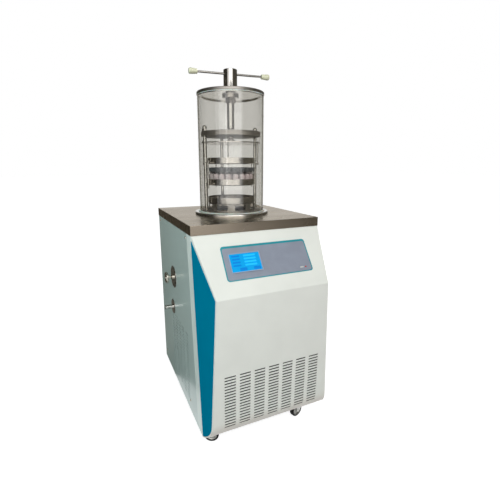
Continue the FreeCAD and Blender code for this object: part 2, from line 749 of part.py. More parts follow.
def make_front_fairing():
    """One folded sheet: sloped control face, grille face, rolled lower edge and two side faces."""
    body = start_body("front_fairing")
    profile = [
        ("front_top", PANEL_TOP),
        ("knee_front", "knee_height"),
        ("toe_front", "toe_height"),
        ("front_foot", "castor_height"),
    ]
    pad(body, add_outline(sketch_on(body, "YZ_Plane"), profile), f"2 * {FAIRING_SIDE}", Midplane=True)
    along_front_edge(body, "Pocket", front_wedges(body, FAIRING_SIDE))
    round_edges(body, "toe_radius", lambda edge: is_bend(edge, "toe_front", "toe_height"))
    round_edges(body, "knee_radius", lambda edge: is_bend(edge, "knee_front", "knee_height"))
    shell_inwards(body, faces_where(body, is_open_back))
    left = f"(-({FRONT_COLUMNS - 1} * column_pitch + slot_long) / 2)"
    low = "(grille_foot - slot_tall / 2)"
    slot = add_slot(sketch_on(body, "XZ_Plane", "-front_foot"), left, low, "slot_long", "slot_tall")
    first = pocket(body, slot, f"front_foot - knee_front + {OVERRUN}", Reversed=True)
    grid_copies(body, first, slot, FRONT_COLUMNS, FRONT_ROWS, "column_pitch", "slot_pitch")


def make_cheek(label, side):
    """A coloured plate on one side face of the fairing, set back from its folded front edge."""
    body = start_body(label)
    way = "" if side > 0 else "-"
    reach = 160
    strip = [
        (f"{way}{FAIRING_SIDE}", "front_top"),
        (f"{way}({FAIRING_SIDE} - cheek_slope * {reach})", f"front_top - {reach}"),
        (f"{way}({PANEL_SIDE} - cheek_slope * {reach})", f"front_top - {reach}"),
        (f"{way}{PANEL_SIDE}", "front_top"),
    ]
    along_front_edge(body, "Pad", add_outline(sketch_on(body, "XY_Plane", PANEL_TOP), strip))
    margin = "cheek_margin"
    keep = [
        (f"front_top - {margin} * {EDGE_RUN}", f"{PANEL_TOP} - 3 * {margin}"),
        (f"knee_front + {margin}", f"knee_height - 0.3 * {margin}"),
        (f"toe_front + {margin}", f"toe_height + {margin} * (1 - {TOE_SLOPE})"),
        (f"front_foot + {EDGE_RUN} * {margin}", f"castor_height + {margin}"),
    ]
    before, behind = f"front_top - {BEYOND}", f"front_top + {BEYOND}"
    trim = sketch_on(body, "YZ_Plane")
    add_outline(trim, box_corners(before, behind, f"castor_height - {BEYOND}", f"worktop_height + {BEYOND}"))
    add_outline(trim, keep, {2: f"toe_radius - {margin}"})
    pocket_through(body, trim)


def make_base_pan():
    """A shallow tray between the panels that carries the works; the castors are fixed under it."""
    body = start_body("base_pan")
    outline = box_corners(f"-{INSIDE}", INSIDE, "front_foot + pan_front", BEHIND)
    pad(body, add_outline(sketch_on(body, "XY_Plane", "castor_height"), outline), "pan_wall")
    top = size_of("castor_height + pan_wall")
    shell_inwards(body, faces_where(body, lambda face: abs(face.CenterOfMass.z - top) < TOUCH))


def make_condenser():
    """Finned heat exchanger behind the grille: a core between two end plates that stand in the pan."""
    left = "-condenser_wide / 2"
    core_low = f"{ON_PAN} + condenser_foot"
    core_size = ("condenser_wide", "condenser_deep", "condenser_tall")
    pieces = [block("condenser_core", left, "front_foot + condenser_front", core_low, *core_size)]
    plate_front = "front_foot + condenser_front - end_plate_lip"
    plate_size = ("end_plate", "condenser_deep + 2 * end_plate_lip", "condenser_tall + 2 * condenser_foot")
    for i, x in enumerate((f"{left} - end_plate", "condenser_wide / 2")):
        pieces.append(block(f"condenser_end_{i}", x, plate_front, ON_PAN, *plate_size))
    return finish(fused("condenser", pieces), "condenser")


def make_compressor():
    """A hermetic compressor: two drawn shells with the weld flange between them, standing in the pan."""
    body = start_body("compressor")
    place(body, "compressor_side", "compressor_back", ON_PAN)
    flange = "compressor_weld"
    profile = [
        (0, 0),
        ("compressor_radius - 8", 0),
        ("compressor_radius", 22),
        ("compressor_radius", flange),
        ("compressor_radius + 4", f"{flange} + 2"),
        ("compressor_radius + 4", f"{flange} + 8"),
        ("compressor_radius - 2", f"{flange} + 12"),
        ("compressor_radius - 12", "compressor_tall - 8"),
        (0, "compressor_tall"),
    ]
    turn(body, profile, {7: "compressor_round"})


# ---------------------------------------------------------------------------------------------------------
# Control panel: local X to the right, local Y up the slope, local Z off the sheet
# ---------------------------------------------------------------------------------------------------------

SLOPE_ANGLE = f"atan(({PANEL_TOP} - knee_height) / (front_top - knee_front)) / 1 deg"


def on_slope(label):
    return place(start_body(label), 0, "front_top", PANEL_TOP, ACROSS, SLOPE_ANGLE)


def square_to_slope(body):
    """Test for edges square to the slope, whatever the body's own placement is."""
    normal = body.Placement.Rotation.multVec(UPRIGHT)
    return lambda edge: runs_along(edge, normal)


def make_control_panel():
    """The printed overlay with the screen in its raised rim, a pill-shaped status lamp and a power lamp."""
    overlay = on_slope("control_overlay")
    right = "overlay_side + overlay_wide"
    area = box_corners("overlay_side", right, "-overlay_drop - overlay_tall", "-overlay_drop")
    pad(overlay, add_outline(sketch_on(overlay, "XY_Plane"), area), "overlay_thick")
    round_edges(overlay, "overlay_corner", square_to_slope(overlay))

    def screen_box(grow):
        """The screen's outline, grown on all sides."""
        left, right = f"screen_side - {grow}", f"screen_side + screen_wide + {grow}"
        return box_corners(left, right, f"-screen_drop - screen_tall - {grow}", f"-screen_drop + {grow}")

    rim = on_slope("screen_bezel")
    pad(rim, add_outline(sketch_on(rim, "XY_Plane", "overlay_thick"), screen_box("bezel_rim")), "bezel_thick")
    round_edges(rim, "bezel_corner", square_to_slope(rim))
    window = add_outline(sketch_on(rim, "XY_Plane", "overlay_thick"), screen_box(0))
    pocket(rim, window, "bezel_thick", Reversed=True)

    screen = on_slope("touch_screen")
    glass = add_outline(sketch_on(screen, "XY_Plane", "overlay_thick"), screen_box("(-screen_gap)"))
    pad(screen, glass, "bezel_thick - screen_sunk")

    status = on_slope("status_lamp")
    pill = sketch_on(status, "XY_Plane", "overlay_thick")
    add_slot(pill, "status_side", "-lamp_drop - status_tall / 2", "status_long", "status_tall")
    pad(status, pill, "lamp_stand")
    power = on_slope("power_lamp")
    dot = sketch_on(power, "XY_Plane", "overlay_thick")
    pad(power, add_circles(dot, [("power_lamp_side", "-lamp_drop", "power_lamp_radius")]), "lamp_stand")


# ---------------------------------------------------------------------------------------------------------
# Cold trap and chamber
# ---------------------------------------------------------------------------------------------------------

RIM = "(worktop_height + flange_thick)"
JAR_FOOT = "(worktop_height + flange_thick + seal_stand)"
JAR_BORE = "(jar_radius - jar_wall)"
JAR_TOP = f"({JAR_FOOT} + jar_tall)"
LID_LOW = f"({JAR_TOP} + gasket_thick)"
LID_TOP = f"({LID_LOW} + lid_thick)"
SPINDLE_HOLE = f"(spindle_radius + {RUNNING})"


def make_cold_trap():
    """The drawn pot below the worktop that the vapour freezes in; its rim ends inside the flange."""
    floor = "(worktop_height - trap_depth)"
    pot = [
        (0, floor),
        (TRAP_SIDE, floor),
        (TRAP_SIDE, RIM),
        ("trap_radius", RIM),
        ("trap_radius", f"{floor} + wall"),
        (0, f"{floor} + wall"),
    ]
    turned("cold_trap", pot)


def make_chamber():
    """The flange with its ring seal on the worktop, and what stands on it: clear wall, gasket and lid."""
    groove = f"({RIM} - seal_sunk)"
    ring = [
        (TRAP_SIDE, "worktop_height"),
        ("flange_radius", "worktop_height"),
        ("flange_radius", RIM),
        ("seal_outer + seal_slack", RIM),
        ("seal_outer + seal_slack", groove),
        ("seal_inner - seal_slack", groove),
        ("seal_inner - seal_slack", RIM),
        (TRAP_SIDE, RIM),
    ]
    turned("chamber_flange", ring, {2: "flange_round"})
    seal = [
        ("seal_inner", groove),
        ("seal_outer", groove),
        ("seal_outer", f"{JAR_FOOT} - seal_bevel"),
        ("seal_outer - seal_bevel", JAR_FOOT),
        ("seal_inner", JAR_FOOT),
    ]
    turned("ring_seal", seal)
    turned("chamber_jar", box_corners(JAR_BORE, "jar_radius", JAR_FOOT, JAR_TOP))
    turned("lid_gasket", box_corners(JAR_BORE, "jar_radius", JAR_TOP, LID_LOW))
    edge = "jar_radius + lid_lip"
    step_out = f"({JAR_BORE} - lid_step_gap)"
    step_low = f"({LID_LOW} - lid_step)"
    plate = [
        ("sleeve_radius", LID_LOW),
        (f"{step_out} - lid_step_wide", LID_LOW),
        (f"{step_out} - lid_step_wide", step_low),
        (step_out, step_low),
        (step_out, LID_LOW),
        (edge, LID_LOW),
        (edge, LID_TOP),
        ("sleeve_radius", LID_TOP),
    ]
    bevel_edges(turned("lid", plate), "edge_bevel", on_rim(edge))


def make_gland():
    """The sealed bush that the spindle turns in: a sleeve through the lid, a flange and a nut below it."""
    low = f"({LID_LOW} - gland_thick)"
    bush = [
        (SPINDLE_HOLE, low),
        ("gland_radius", low),
        ("gland_radius", LID_LOW),
        ("sleeve_radius", LID_LOW),
        ("sleeve_radius", LID_TOP),
        (SPINDLE_HOLE, LID_TOP),
    ]
    gland = turned("gland", bush)
    bevel_edges(gland, "edge_bevel", lambda edge: on_rim("gland_radius")(edge) and at_height(low)(edge))
    nut_low = f"{low} - gland_nut_tall"
    blank = hexagon("gland_nut_blank", 0, 0, nut_low, "gland_nut_flats", "gland_nut_tall")
    hole_tall = f"gland_nut_tall + 2 * {OVERRUN}"
    hole = rod("gland_nut_hole", 0, 0, f"{nut_low} - {OVERRUN}", SPINDLE_HOLE, hole_tall)
    finish(cut("gland_nut", blank, hole), "gland_nut")


def make_handle():
    """Everything that turns with the bar: head, bar, end knobs and the spindle with its hexagonal socket."""
    bar_height = f"({LID_TOP} + bar_rise)"
    foot = "(worktop_height + spindle_foot)"
    spindle_top = f"({LID_TOP} + spindle_stand)"

    spindle = turned("press_spindle", box_corners(0, "spindle_radius", foot, spindle_top))
    bevel_edges(spindle, "edge_bevel", at_height(foot))
    socket = sketch_on(spindle, "XY_Plane", foot)
    corner = "((drive_flats + drive_slack) / sqrt(3))"
    add_outline(socket, [around(corner, 60 * i) for i in range(6)])
    pocket(spindle, socket, "screw_top - spindle_foot + socket_spare", Reversed=True)

    head_top = f"({LID_TOP} + head_tall)"
    sleeve = [
        ("spindle_radius", f"{LID_TOP} + head_gap"),
        ("head_radius", f"{LID_TOP} + head_gap"),
        ("head_radius", head_top),
        (0, head_top),
        (0, spindle_top),
        ("spindle_radius", spindle_top),
    ]
    head = turned("handle_head", sleeve)
    bevel_edges(head, "edge_bevel", at_height(head_top))
    pocket_through(head, add_circles(sketch_on(head, "YZ_Plane"), [(0, bar_height, "bar_radius")]))
    place(head, swing=BAR_ANGLE)

    bar = start_body("tommy_bar")
    section = add_circles(sketch_on(bar, "YZ_Plane"), [(0, bar_height, "bar_radius")])
    pad(bar, section, "2 * (bar_reach - knob_floor)", Midplane=True)
    place(bar, swing=BAR_ANGLE)

    knobs = []
    for i, way in enumerate((1, -1)):
        knob = doc.addObject("PartDesign::Body", f"bar_knob_{i}")
        ball_end = [
            ("bar_radius", "bar_reach - knob_long"),
            ("0.8 * knob_radius", "bar_reach - knob_long"),
            ("knob_radius", "bar_reach - knob_end"),
            ("0.88 * knob_radius", "bar_reach"),
            (0, "bar_reach"),
            (0, "bar_reach - knob_floor"),
            ("bar_radius", "bar_reach - knob_floor"),
        ]
        turn(knob, ball_end, {3: "knob_round"})
        knobs.append(place(knob, 0, 0, bar_height, BACKWARD, 90 * way, BAR_ANGLE))
    group("bar_knobs", knobs)


# ---------------------------------------------------------------------------------------------------------
# Top-press rack
# ---------------------------------------------------------------------------------------------------------

FOOT_TOP = f"({RIM} + foot_thick)"
LOW_TRAY = "(worktop_height + low_tray_rise)"
MID_TRAY = "(worktop_height + mid_tray_rise)"
HIGH_TRAY = "(worktop_height + high_tray_rise)"
PRESS = "(worktop_height + press_plate_rise)"
PRESS_TOP = f"({PRESS} + press_plate_thick)"
UNDER_TOP = "(worktop_height + top_plate_rise)"
TOP_FACE = f"({UNDER_TOP} + top_plate_tall)"
STUD_HOLE = f"(stud_radius + {RUNNING})"
SCREW_HOLE = f"(screw_radius + {RUNNING})"
HANGER_HOLE = f"(hanger_radius + {RUNNING})"
LINK_HOLE = f"(link_radius + {RUNNING})"


def drill_up(body, holes, low, thick):
    """Round holes through a flat plate, cut upwards from its underside."""
    pocket(body, add_circles(sketch_on(body, "XY_Plane", low), holes), thick, Reversed=True)


def make_rack_base():
    """A flat ring on the flange with a short collar under the lowest tray; vapour leaves by its windows."""
    outer = "seal_inner - foot_inset"
    collar = [
        ("foot_bore", RIM),
        (outer, RIM),
        (outer, FOOT_TOP),
        ("collar_radius", FOOT_TOP),
        ("collar_radius", LOW_TRAY),
        ("collar_radius - collar_wall", LOW_TRAY),
        ("collar_radius - collar_wall", FOOT_TOP),
        ("foot_bore", FOOT_TOP),
    ]
    body = turned("rack_base", collar)
    left, right = "-window_wide / 2", "window_wide / 2"
    opening = box_corners(left, right, f"{FOOT_TOP} + window_margin", f"{LOW_TRAY} - window_margin")
    window = pocket_through(body, add_outline(sketch_on(body, "XZ_Plane"), opening))
    spin_copies(body, window, COLLAR_WINDOWS // 2, 180 - 360 / COLLAR_WINDOWS)


def make_top_plate():
    """A thick disc on the columns with its edges rounded; it holds the bush of the press screw."""
    disc = box_corners("bush_radius", "plate_radius", UNDER_TOP, TOP_FACE)
    body = turned("top_plate", disc, {1: "top_plate_round", 2: "top_plate_round"})
    studs = [(*around("column_circle", angle), STUD_HOLE) for angle in COLUMN_ANGLES]
    drill_up(body, studs, UNDER_TOP, "top_plate_tall")
    bush = [
        (SCREW_HOLE, f"{UNDER_TOP} - bush_drop"),
        ("bush_radius", f"{UNDER_TOP} - bush_drop"),
        ("bush_radius", TOP_FACE),
        ("bush_head", TOP_FACE),
        ("bush_head", f"{TOP_FACE} + bush_head_thick"),
        (SCREW_HOLE, f"{TOP_FACE} + bush_head_thick"),
    ]
    turned("screw_bush", bush)


def make_columns():
    """Three columns from the foot ring to the top plate, each with its stud and acorn nut."""
    columns, nuts = [], []
    dome = box_corners(0, "acorn_flats / 2", "acorn_skirt", "acorn_tall")
    skirt = [around("(acorn_flats / sqrt(3))", 60 * i) for i in range(6)]
    for i, angle in enumerate(COLUMN_ANGLES):
        x, y = around("column_circle", angle)
        shank = rod(f"column_shank_{i}", x, y, FOOT_TOP, "column_radius", f"{UNDER_TOP} - {FOOT_TOP}")
        stud = rod(f"column_stud_{i}", x, y, UNDER_TOP, "stud_radius", "top_plate_tall + stud_stand")
        columns.append(fused(f"column_{i}", [shank, stud]))
        nut = doc.addObject("PartDesign::Body", f"acorn_nut_{i}")
        pad(nut, add_outline(sketch_on(nut, "XY_Plane"), skirt), "acorn_skirt")
        turn(nut, dome, {2: "acorn_round"})
        drill_up(nut, [(0, 0, STUD_HOLE)], 0, "stud_stand")
        nuts.append(place(nut, x, y, TOP_FACE))
    group("rack_columns", columns)
    group("acorn_nuts", nuts)


def ear_outline(angle):
    """A tongue from inside the rim of a tray to beyond its rod, at an angle about the axis."""
    near, far = "(tray_radius - wall)", "(hanger_circle + ear_wide / 2)"
    corners = []
    for reach, way in ((near, 1), (far, 1), (far, -1), (near, -1)):
        x, y = around(reach, angle)
        across = f"({way}) * ear_wide / 2"
        corners.append((f"{x} + {across} * sin({angle} deg)", f"{y} - {across} * cos({angle} deg)"))
    return corners


def make_tray(label, low, holes):
    """A spun stainless tray; ears on its rim take the rods that carry it.

    holes gives the radius of the rod's hole for each angle."""
    high = f"({low} + tray_tall)"
    inside = "(tray_radius - wall)"
    dish = [
        (0, low),
        ("tray_radius - tray_fold", low),
        ("tray_radius", f"{low} + tray_fold"),
        ("tray_radius", high),
        (inside, high),
        (inside, f"{low} + tray_fold"),
        (f"{inside} - tray_fold + wall", f"{low} + wall"),
        (0, f"{low} + wall"),
    ]
    body = turned(label, dish)
    under_ears = f"{low} + ear_rise"
    for angle in holes:
        ear = add_outline(sketch_on(body, "XY_Plane", under_ears), ear_outline(angle))
        pad(body, ear, "ear_thick")
    if holes:
        drilled = [(*around("hanger_circle", angle), radius) for angle, radius in holes.items()]
        drill_up(body, drilled, under_ears, "ear_thick")


def make_trays():
    hung = dict.fromkeys(HANGER_ANGLES, HANGER_HOLE)
    linked = dict.fromkeys(LINK_ANGLES, LINK_HOLE)
    make_tray("upper_tray", HIGH_TRAY, hung | linked)
    make_tray("middle_tray", MID_TRAY, linked)
    make_tray("lower_tray", LOW_TRAY, {})


def nut_on_rod(name, angle, z, flats, bore):
    """One plain hexagon nut round a rod, with a hole that fits it."""
    x, y = around("hanger_circle", angle)
    blank = hexagon(name + "_blank", x, y, z, flats, "rod_nut_tall")
    hole = rod(name + "_hole", x, y, f"{z} - {OVERRUN}", bore, f"rod_nut_tall + 2 * {OVERRUN}")
    return cut(name, blank, hole)


def make_rods():
    """Hanger rods from the press plate to the upper tray, and link rods on to the middle tray, with nuts."""
    high_ear, mid_ear = f"({HIGH_TRAY} + ear_rise)", f"({MID_TRAY} + ear_rise)"
    hangers, links, nuts = [], [], []
    for i, angle in enumerate(HANGER_ANGLES):
        low, tall = f"{high_ear} - rod_end", f"{PRESS_TOP} + rod_stand - {high_ear} + rod_end"
        hangers.append(rod(f"hanger_{i}", *around("hanger_circle", angle), low, "hanger_radius", tall))
        for j, z in enumerate((PRESS_TOP, f"({high_ear} - rod_nut_tall)")):
            nuts.append(nut_on_rod(f"hanger_nut_{i}{j}", angle, z, "hanger_nut_flats", "hanger_radius"))
    for i, angle in enumerate(LINK_ANGLES):
        low, tall = f"{mid_ear} - link_end", f"{high_ear} + ear_thick + rod_stand - {mid_ear} + link_end"
        links.append(rod(f"link_{i}", *around("hanger_circle", angle), low, "link_radius", tall))
        for j, z in enumerate((f"({high_ear} + ear_thick)", f"({mid_ear} - rod_nut_tall)")):
            nuts.append(nut_on_rod(f"link_nut_{i}{j}", angle, z, "link_nut_flats", "link_radius"))
    group("hanger_rods", hangers)
    group("link_rods", links)
    group("rod_nuts", nuts)


def make_press_plate():
    """The plate that the screw drives down; it slides on the columns and carries the hung trays."""
    body = turned("press_plate", box_corners(0, "plate_radius", PRESS, PRESS_TOP))
    guides = [(*around("column_circle", angle), "column_radius + guide_gap") for angle in COLUMN_ANGLES]
    rods = [(*around("hanger_circle", angle), HANGER_HOLE) for angle in HANGER_ANGLES]
    drill_up(body, guides + rods, PRESS, "press_plate_thick")


def make_press_yoke():
    """Two splayed feet on the press plate under a collar that carries the end of the screw."""
    collar_low = f"({PRESS_TOP} + yoke_tall - yoke_collar)"
    body = start_body("press_yoke")
    turn(body, box_corners(0, "yoke_radius", collar_low, f"{PRESS_TOP} + yoke_tall"))
    feet = sketch_on(body, "XZ_Plane")
    for way in ("", "-"):
        leg = [
            (f"{way}(yoke_spread - 7)", PRESS_TOP),
            (f"{way}yoke_spread", PRESS_TOP),
            (f"{way}yoke_spread", f"{PRESS_TOP} + 2"),
            (f"{way}(yoke_spread / 2)", f"{collar_low} + 3"),
            (f"{way}(yoke_spread / 4)", f"{collar_low} + 3"),
            (f"{way}(yoke_spread / 4)", f"{collar_low} + 0.5"),
        ]
        add_outline(feet, leg)
    pad(body, feet, "yoke_wide", Midplane=True)


def make_press_screw():
    """The screw stands on the yoke, passes the bush and ends in the hexagon that the spindle turns."""
    shoulder = "(worktop_height + screw_top - drive_tall)"
    body = start_body("press_screw")
    turn(body, box_corners(0, "screw_radius", f"{PRESS_TOP} + yoke_tall", shoulder))
    drive = [around("(drive_flats / sqrt(3))", 60 * i) for i in range(6)]
    pad(body, add_outline(sketch_on(body, "XY_Plane", shoulder), drive), "drive_tall")


# ---------------------------------------------------------------------------------------------------------
# Side fittings: turned about a line that points out of the left side
# ---------------------------------------------------------------------------------------------------------


def facing_left(label, back, height, corners, rounded=None):
    return place(turned(label, corners, rounded), f"-{PANEL_SIDE}", back, height, BACKWARD, -90)


def make_vent_valve():
    """Escutcheon, body, stem and a flat round knob that is seated over the end of the stem."""
    middle = ("vent_back", "vent_height")
    plate = [
        ("vent_shank + shank_gap", 0),
        ("vent_plate_radius", 0),
        ("vent_plate_radius", "vent_plate / 2"),
        ("vent_plate_radius - 3", "vent_plate"),
        ("vent_shank + shank_gap", "vent_plate"),
    ]
    facing_left("vent_escutcheon", *middle, plate)
    stem_hole = f"(vent_stem_radius + {RUNNING})"
    stem_foot = "(vent_collar / 4)"
    collar = [
        (0, "-vent_depth"),
        ("vent_shank", "-vent_depth"),
        ("vent_shank", "vent_collar - 3"),
        ("vent_shank - 2.3", "vent_collar"),
        (stem_hole, "vent_collar"),
        (stem_hole, f"{stem_foot} - stem_gap"),
        (0, f"{stem_foot} - stem_gap"),
    ]
    facing_left("vent_body", *middle, collar)
    facing_left("vent_stem", *middle, box_corners(0, "vent_stem_radius", stem_foot, "vent_stem_end"))
    hub_low = "(vent_stem_end - vent_seat)"
    knob_end = "(vent_stem_end + vent_seat)"
    disc = [
        (0, "vent_stem_end"),
        ("vent_stem_radius", "vent_stem_end"),
        ("vent_stem_radius", hub_low),
        ("vent_shank", hub_low),
        ("vent_shank", f"{knob_end} - vent_knob_thick"),
        ("vent_knob_radius", f"{knob_end} - vent_knob_thick"),
        ("vent_knob_radius", knob_end),
        (0, knob_end),
    ]
    facing_left("vent_knob", *middle, disc, {6: "vent_knob_round"})


def make_vacuum_port():
    """A plain nozzle that passes the side panel, with its escutcheon."""
    middle = ("port_back", "port_height")
    hole = "port_shank + shank_gap"
    plate = [
        (hole, 0),
        ("port_plate_radius", 0),
        ("port_plate_radius", "port_plate / 2"),
        ("port_plate_radius - 2", "port_plate"),
        (hole, "port_plate"),
    ]
    facing_left("port_escutcheon", *middle, plate)
    nozzle = [
        ("port_bore", "-port_depth"),
        ("port_shank", "-port_depth"),
        ("port_shank", "port_plate"),
        ("port_radius", "port_plate"),
        ("port_radius", "port_stand - edge_bevel"),
        ("port_radius - edge_bevel", "port_stand"),
        ("port_bore", "port_stand"),
    ]
    facing_left("vacuum_port", *middle, nozzle)


# ---------------------------------------------------------------------------------------------------------
# Rear connections
# ---------------------------------------------------------------------------------------------------------


def facing_back(label, side):
    return place(start_body(label), side, "back_face", "connection_height", ACROSS, -90)


def centred(wide, tall):
    """Corners of a box about the origin."""
    return box_corners(f"-{wide} / 2", f"{wide} / 2", f"-{tall} / 2", f"{tall} / 2")


def make_power_inlet():
    """An appliance inlet: shell, flange and three flat pins in its mouth."""
    inlet = facing_back("power_inlet", "inlet_side")
    shell = add_outline(sketch_on(inlet, "XY_Plane", "-inlet_deep"), centred("inlet_wide", "inlet_tall"))
    pad(inlet, shell, "inlet_deep")
    flange = centred("inlet_flange_wide", "inlet_flange_tall")
    pad(inlet, add_outline(sketch_on(inlet, "XY_Plane"), flange), "inlet_flange")
    mouth = centred("inlet_mouth_wide", "inlet_mouth_tall")
    pocket(inlet, add_outline(sketch_on(inlet, "XY_Plane", "inlet_flange"), mouth), "inlet_mouth_deep")
    pins = sketch_on(inlet, "XY_Plane", "inlet_flange - inlet_mouth_deep - 0.5")
    for x, y in (("-pin_spread", -2), (0, 2.5), ("pin_spread", -2)):
        add_outline(pins, box_corners(f"{x} - 1", f"{x} + 1", f"{y} - 2", f"{y} + 2"))
    pad(inlet, pins, "pin_long")


def make_power_switch():
    """A rocker on its pivots in a snap-in frame."""
    frame = facing_back("switch_frame", "switch_side")
    shell = add_outline(sketch_on(frame, "XY_Plane", "-switch_deep"), centred("switch_wide", "switch_tall"))
    pad(frame, shell, "switch_deep")
    flange = centred("(switch_wide + 2 * switch_lip)", "(switch_tall + 2 * switch_lip)")
    pad(frame, add_outline(sketch_on(frame, "XY_Plane"), flange), "switch_flange")
    mouth = centred("(rocker_wide + 2 * rocker_gap)", "(rocker_tall + 2 * rocker_gap + 1)")
    pocket(frame, add_outline(sketch_on(frame, "XY_Plane", "switch_flange"), mouth), "rocker_room")
    pivot = f"(trunnion_radius + {RUNNING})"
    sockets = sketch_on(frame, "YZ_Plane", "-trunnion_reach - 0.1")
    pocket(frame, add_circles(sockets, [(0, 0, pivot)]), "2 * trunnion_reach + 0.2", Reversed=True)

    rocker = facing_back("power_rocker", "switch_side")
    half = "(rocker_tall / 2)"
    face = [
        (f"0.6 - {half}", -2.5),
        (f"{half} - 0.6", -2.5),
        (half, 3.6),
        (0, 2.4),
        (f"-{half}", 3.6),
    ]
    pad(rocker, add_outline(sketch_on(rocker, "YZ_Plane"), face), "rocker_wide", Midplane=True)
    pegs = add_circles(sketch_on(rocker, "YZ_Plane"), [(0, 0, "trunnion_radius")])
    pad(rocker, pegs, "2 * trunnion_reach", Midplane=True)


# ---------------------------------------------------------------------------------------------------------
# Castors
# ---------------------------------------------------------------------------------------------------------

CROWN = "(castor_height - castor_gap)"
FORK_INSIDE = "(wheel_wide / 2 + fork_gap)"


def make_castor_plate(tag, x, y):
    """Mounting plate with the ball race below it and the swivel pin that the fork turns on."""
    plate = doc.addObject("PartDesign::Body", f"castor_plate_{tag}")
    place(plate, x, y)
    under = "(castor_height - castor_sheet)"
    square = centred("castor_plate", "castor_plate")
    pad(plate, add_outline(sketch_on(plate, "XY_Plane", under), square), "castor_sheet")
    race = add_circles(sketch_on(plate, "XY_Plane", f"{CROWN} + race_gap"), [(0, 0, "race_radius")])
    pad(plate, race, f"{under} - {CROWN} - race_gap")
    pin = add_circles(sketch_on(plate, "XY_Plane", f"{CROWN} - fork_sheet"), [(0, 0, "pin_radius")])
    pad(plate, pin, f"{under} - {CROWN} + fork_sheet")
    return plate


def make_castor_fork(tag, x, y, swing):
    """A pressed fork, drawn trailing to the left, with its riveted axle."""
    fork = place(start_body(f"castor_fork_{tag}"), x, y, swing=swing)
    axle = "-castor_trail"
    cheek = [
        (f"{axle} - 7", "wheel_radius"),
        (axle, "wheel_radius - 7"),
        (f"{axle} + 7", "wheel_radius - 3"),
        ("race_radius + 1", f"{CROWN} - 10"),
        ("race_radius + 1", CROWN),
        ("-race_radius - 3", CROWN),
        (f"{axle} - 1", f"{CROWN} - 12"),
    ]
    width = f"2 * ({FORK_INSIDE} + fork_sheet)"
    pad(fork, add_outline(sketch_on(fork, "XZ_Plane"), cheek, {1: "fork_round"}), width, Midplane=True)
    clear = box_corners(f"-{FORK_INSIDE}", FORK_INSIDE, 0, f"{CROWN} - fork_sheet")
    pocket_through(fork, add_outline(sketch_on(fork, "YZ_Plane"), clear))
    swivel = add_circles(sketch_on(fork, "XY_Plane", CROWN), [(0, 0, f"pin_radius + {RUNNING}")])
    pocket(fork, swivel, "2 * fork_sheet")
    rivet = add_circles(sketch_on(fork, "XZ_Plane"), [(axle, "wheel_radius", "axle_radius")])
    pad(fork, rivet, f"{width} + 2 * rivet_stand", Midplane=True)


def make_castor_wheel(tag, x, y, swing):
    """A solid wheel: a hub and a tyre with a shallow dish between them on both sides."""
    wheel = start_body(f"castor_wheel_{tag}")
    half = "wheel_wide / 2"
    bore = f"(axle_radius + {RUNNING})"
    one_side = [
        ("hub_radius", half),
        ("hub_radius + wheel_dish", f"{half} - wheel_dish"),
        ("wheel_radius - 8", f"{half} - wheel_dish"),
        ("wheel_radius - 5", half),
        ("wheel_radius - 2", half),
        ("wheel_radius", f"{half} - 3"),
    ]
    other_side = [(radius, f"-({across})") for radius, across in one_side]
    turn(wheel, [(bore, f"-{half}"), *other_side, *reversed(one_side), (bore, half)])
    place(wheel, x, y, "wheel_radius", ACROSS, 90, swing)


def make_castors():
    plates = []
    for tag, (x, y, way) in CASTORS.items():
        plates.append(make_castor_plate(tag, x, y))
        make_castor_fork(tag, x, y, way - 180)
        wheel_x, wheel_y = around("castor_trail", way)
        make_castor_wheel(tag, f"{x} + {wheel_x}", f"{y} + {wheel_y}", way - 180)
    group("castor_plates", plates)


make_worktop()
vent_hole = ("vent_back", "vent_height", "vent_shank + shank_gap")
port_hole = ("port_back", "port_height", "port_shank + shank_gap")
make_side_panel("side_panel_left", -1, [vent_hole, port_hole])
make_side_panel("side_panel_right", 1, [])
make_rear_panel()
make_front_fairing()
make_cheek("cheek_left", -1)
make_cheek("cheek_right", 1)
make_base_pan()
make_condenser()
make_compressor()
make_control_panel()
make_cold_trap()
make_chamber()
make_gland()
make_handle()
make_rack_base()
make_columns()
make_top_plate()
make_trays()
make_rods()
make_press_plate()
make_press_yoke()
make_press_screw()
make_vent_valve()
make_vacuum_port()
make_power_inlet()
make_power_switch()
make_castors()

# ---------------------------------------------------------------------------------------------------------
# Check and write
# ---------------------------------------------------------------------------------------------------------

for node in nodes:
    stand_in_frame(node)
doc.recompute()
for thing in doc.Objects:
    if "Invalid" in thing.State or "Error" in thing.State:
        raise RuntimeError(f"{thing.Label} did not build: {thing.State}")

os.makedirs("parts", exist_ok=True)
for node in nodes:
    shape = node.Shape
    if shape.isNull() or not shape.isValid() or not shape.Solids:
        raise RuntimeError(f"{node.Label} is not a valid solid")
    shape.exportStep(f"parts/{node.Label}.step")
